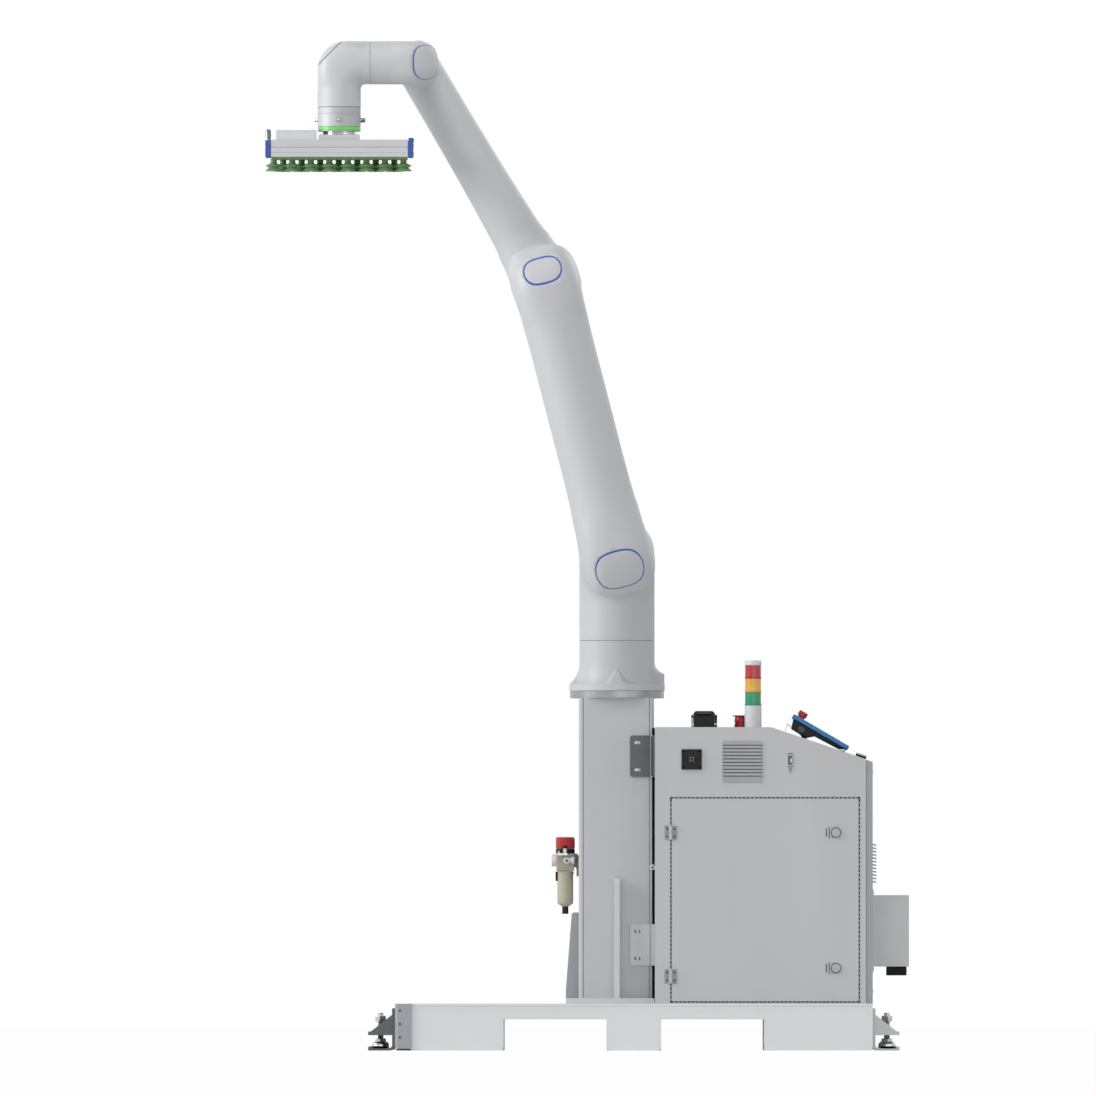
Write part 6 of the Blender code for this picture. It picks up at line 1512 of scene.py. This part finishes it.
def build_air_unit():
    x, half, low, high = -0.1450, 0.0250, 0.5020, 0.5530
    wall = -COLUMN_HALF - COLUMN_LEFT_MORE - 0.0003
    solid_piece("regulator_body", BEIGE, "base", [
        ("box", (x - half, -half, low + 0.0010), (x + half, half, high - 0.0010)),
        ("box", (x - half + 0.003, -half + 0.003, low), (x + half - 0.003, half - 0.003, high)),
    ], 0.0030, ("air_body",), 3)
    outline = [(wall, low - 0.0140), (wall, high - 0.0060)]
    outline += corner_arc((wall - 0.0080, high - 0.0090), 0.0080, 0, 90, 6)
    outline += [(x + half - 0.001, high - 0.0010), (x + half - 0.001, low + 0.0130)]
    outline += corner_arc((wall - 0.0130, low + 0.0050), 0.0070, 90, 0, 5) + [(wall - 0.0060, low - 0.0140)]
    prism_piece("regulator_bracket", BEIGE_DARK, "base", outline, -0.0230, 0.0230, "XZ", 0.0012)
    solid_piece("bonnet_ring", BLACK, "base", [
        ("turned", [(0, high - 0.001), (0.0262, high - 0.001), (0.0266, high + 0.0010),
                    (0.0266, high + 0.0105), (0.0250, high + 0.0120), (0, high + 0.0120)], (x, 0, 0), UP,
         64)], smooth=30)
    knob = high + 0.0123
    bm = bmesh.new()
    rows = []
    for share, z in ((0, 0), (0.95, 0), (1, 0.0010), (1, 0.0285), (0.93, 0.0320), (0.80, 0.0330),
                     (0, 0.0330)):
        row = []
        for k in range(96):
            a = 2 * math.pi * k / 96
            flat = math.cos(math.pi / 12) / math.cos(math.fmod(a, math.pi / 6) - math.pi / 12)
            radius = 0.0268 * share * (0.985 * flat + 0.015)
            row.append(bm.verts.new((x + radius * math.cos(a), radius * math.sin(a), knob + z)))
            if share == 0:
                break
        rows.append(row)
    skin(bm, rows)
    put("regulator_knob", bm, RED, "pressure_knob", 12, ("air_knob",))
    solid_piece("regulator_posts", STEEL, "base", [
        ("rod", 0.0060, (x - 0.0006, -0.0300, high - 0.0005), (x - 0.0006, -0.0300, high + 0.0130), 28),
        ("rod", 0.0030, (x - 0.0180, -0.0290, high - 0.0030), (x - 0.0180, -0.0290, high + 0.0060), 20),
        ("box", (x - 0.0220, -0.0360, high - 0.0060), (x + 0.0060, -half + 0.0010, high - 0.0004))])
    solid_piece("regulator_post_cap", BLACK, "base", [
        ("rod", 0.0062, (x - 0.0006, -0.0300, high + 0.0132), (x - 0.0006, -0.0300, high + 0.0205), 28)],
                0.0006)
    elbow = low + 0.0301
    solid_piece("air_elbow_fitting", ELBOW_WHITE, "base", [
        ("turned", [(0, -0.0040), (0.0092, -0.0040), (0.0092, 0.0060), (0.0084, 0.0068), (0.0080, 0.0190),
                    (0.0072, 0.0198), (0.0040, 0.0200), (0, 0.0194)], (x + 0.0040, -half, elbow), -Y, 40),
        ("turned", [(0, 0), (0.0070, 0), (0.0075, 0.0008), (0.0075, 0.0180), (0.0096, 0.0190),
                    (0.0104, 0.0200), (0.0104, 0.0256), (0.0094, 0.0268), (0.0052, 0.0268),
                    (0.0052, 0.0200), (0, 0.0200)], (x - 0.0010, -half - 0.0110, elbow), X, 40)], smooth=30)
    solid_piece("air_elbow_recess", DARK_METAL, "base", [
        ("rod", 0.0040, (x + 0.0040, -half - 0.0198, elbow), (x + 0.0040, -half - 0.0203, elbow), 28)],
                smooth=30)
    bm = bmesh.new()
    left = x - half - 0.0003
    add_turned(bm, [(0, 0), (0.0162, 0), (0.0170, 0.0010), (0.0170, 0.0116), (0.0164, 0.0128),
                    (0.0156, 0.0130), (0.0150, 0.0126), (0.0150, 0.0112), (0, 0.0112)],
               (left, 0, elbow + 0.0005), -X, 64)
    put("gauge_case", bm, PALE, "base", 30, ("pressure_gauge",))
    face = left - 0.01135
    solid_piece("gauge_dial", DIAL, "base", [("rod", 0.0149, (face + 0.0004, 0, elbow + 0.0005),
                                              (face, 0, elbow + 0.0005), 48)])
    middle = Vector((face - 0.0002, 0, elbow + 0.0005))
    bm = bmesh.new()
    for i in range(11):
        a = math.radians(225 - 27 * i)
        out_way = Vector((0, -math.cos(a), math.sin(a)))
        add_rod(bm, 0.0003, middle + out_way * 0.0110, middle + out_way * 0.0136, 6)
    needle = Vector((0, -math.cos(math.radians(120)), math.sin(math.radians(120))))
    add_rod(bm, 0.0004, middle - needle * 0.0030, middle + needle * 0.0105, 8)
    add_rod(bm, 0.0016, middle + X * 0.0002, middle - X * 0.0006, 20)
    put("gauge_marks", bm, BLACK, "base")
    bm = bmesh.new()
    r = 0.0222
    top = low - 0.0003
    add_turned(bm, [(0, 0), (r, 0), (r, -0.0870), (r * 0.97, -0.0892), (r * 0.88, -0.0918),
                    (r * 0.70, -0.0945), (r * 0.52, -0.0966), (r * 0.44, -0.0982), (0, -0.0982)],
               (x, 0, top), UP, 72)
    put("filter_bowl_guard", bm, BOWL_BEIGE, "base", 30, ("filter_bowl",))
    solid_piece("bowl_drain", BLACK, "base", [
        ("turned", [(0, -0.0960), (0.0088, -0.0960), (0.0088, -0.1180), (0.0080, -0.1190), (0, -0.1190)],
         (x, 0, top), UP, 40)], smooth=30)
    solid_piece("bowl_latch", BLACK, "base", [
        ("box", (x - r - 0.0052, -0.0070, top - 0.0265), (x - r + 0.0030, 0.0070, top - 0.0001)),
        ("box", (x + r - 0.0010, -0.0060, top - 0.0070), (x + r + 0.0012, 0.0060, top - 0.0002))], 0.0010)


build_connector()
build_signals()
build_pendant()
build_air_unit()


# ---- studio ---------------------------------------------------------------

def studio():
    """A pale floor, soft lights and a white surround."""
    bm = bmesh.new()
    bmesh.ops.create_grid(bm, x_segments=1, y_segments=1, size=60)
    floor_finish = Finish("floor", tint(232, 232, 233), 0.55).clouds(0.4, 0.985).grain(300, 0.00002)
    tree = floor_finish.tree
    glow = floor_finish.add("ShaderNodeEmission")
    glow.inputs["Color"].default_value = (1, 1, 1, 1)
    glow.inputs["Strength"].default_value = 1.0
    path = floor_finish.add("ShaderNodeLightPath")
    share = floor_finish.add("ShaderNodeMath", operation="MULTIPLY")
    share.inputs[1].default_value = 0.97
    blend = floor_finish.add("ShaderNodeMixShader")
    floor_finish.link(path.outputs["Is Camera Ray"], share.inputs[0])
    floor_finish.link(share.outputs[0], blend.inputs["Fac"])
    floor_finish.link(floor_finish.shader.outputs[0], blend.inputs[1])
    floor_finish.link(glow.outputs[0], blend.inputs[2])
    floor_finish.link(blend.outputs[0], tree.nodes["Material Output"].inputs["Surface"])
    floor = bpy.data.objects.new("floor", mesh_from(bm, "floor"))
    floor.data.materials.append(floor_finish.mat)
    bpy.context.scene.collection.objects.link(floor)
    lamps = (
        ("key_softbox", (-6.2, -1.6, 3.4), (-0.1, 0, 1.4), 2.6, 272),
        ("fill_softbox", (4.0, -5.0, 2.6), (0, 0, 1.0), 3.2, 34),
        ("low_softbox", (0.5, -3.4, 0.5), (0.3, 0, 0.3), 1.6, 10),
        ("top_softbox", (0.2, -2.2, 5.6), (-0.1, 0, 1.2), 2.8, 58),
        ("rim_softbox", (2.6, 4.6, 4.2), (0, 0, 1.4), 2.6, 34),
    )
    for name, at, aim, size, power in lamps:
        data = bpy.data.lights.new(name, "AREA")
        data.size = size
        data.energy = power
        lamp = bpy.data.objects.new(name, data)
        lamp.location = at
        lamp.rotation_euler = (Vector(aim) - Vector(at)).to_track_quat("-Z", "Y").to_euler()
        bpy.context.scene.collection.objects.link(lamp)
    world = bpy.data.worlds.new("surround")
    bpy.context.scene.world = world
    world.use_nodes = True
    nodes, links = world.node_tree.nodes, world.node_tree.links
    nodes.clear()
    out = nodes.new("ShaderNodeOutputWorld")
    seen = nodes.new("ShaderNodeBackground")
    soft = nodes.new("ShaderNodeBackground")
    mix = nodes.new("ShaderNodeMixShader")
    path = nodes.new("ShaderNodeLightPath")
    most = nodes.new("ShaderNodeMath")
    most.operation = "MAXIMUM"
    more = nodes.new("ShaderNodeMath")
    more.operation = "MAXIMUM"
    seen.inputs["Color"].default_value = (1, 1, 1, 1)
    seen.inputs["Strength"].default_value = 1.0
    soft.inputs["Color"].default_value = (0.94, 0.97, 1.0, 1)
    soft.inputs["Strength"].default_value = 0.40
    links.new(path.outputs["Is Camera Ray"], most.inputs[0])
    links.new(path.outputs["Is Glossy Ray"], most.inputs[1])
    links.new(most.outputs[0], more.inputs[0])
    links.new(path.outputs["Is Transmission Ray"], more.inputs[1])
    links.new(more.outputs[0], mix.inputs["Fac"])
    links.new(soft.outputs[0], mix.inputs[1])
    links.new(seen.outputs[0], mix.inputs[2])
    links.new(mix.outputs[0], out.inputs["Surface"])


def camera():
    data = bpy.data.cameras.new("camera")
    data.sensor_width = 36
    data.lens = 983.4
    data.clip_end = 300
    obj = bpy.data.objects.new("camera", data)
    obj.location = (0.0, -84.0, 0.15)
    aim = Vector((-0.1935, 0.0, 1.4093)) - obj.location
    obj.rotation_euler = aim.to_track_quat("-Z", "Y").to_euler()
    bpy.context.scene.collection.objects.link(obj)
    bpy.context.scene.camera = obj


studio()
camera()
bpy.context.scene.view_settings.view_transform = "Standard"
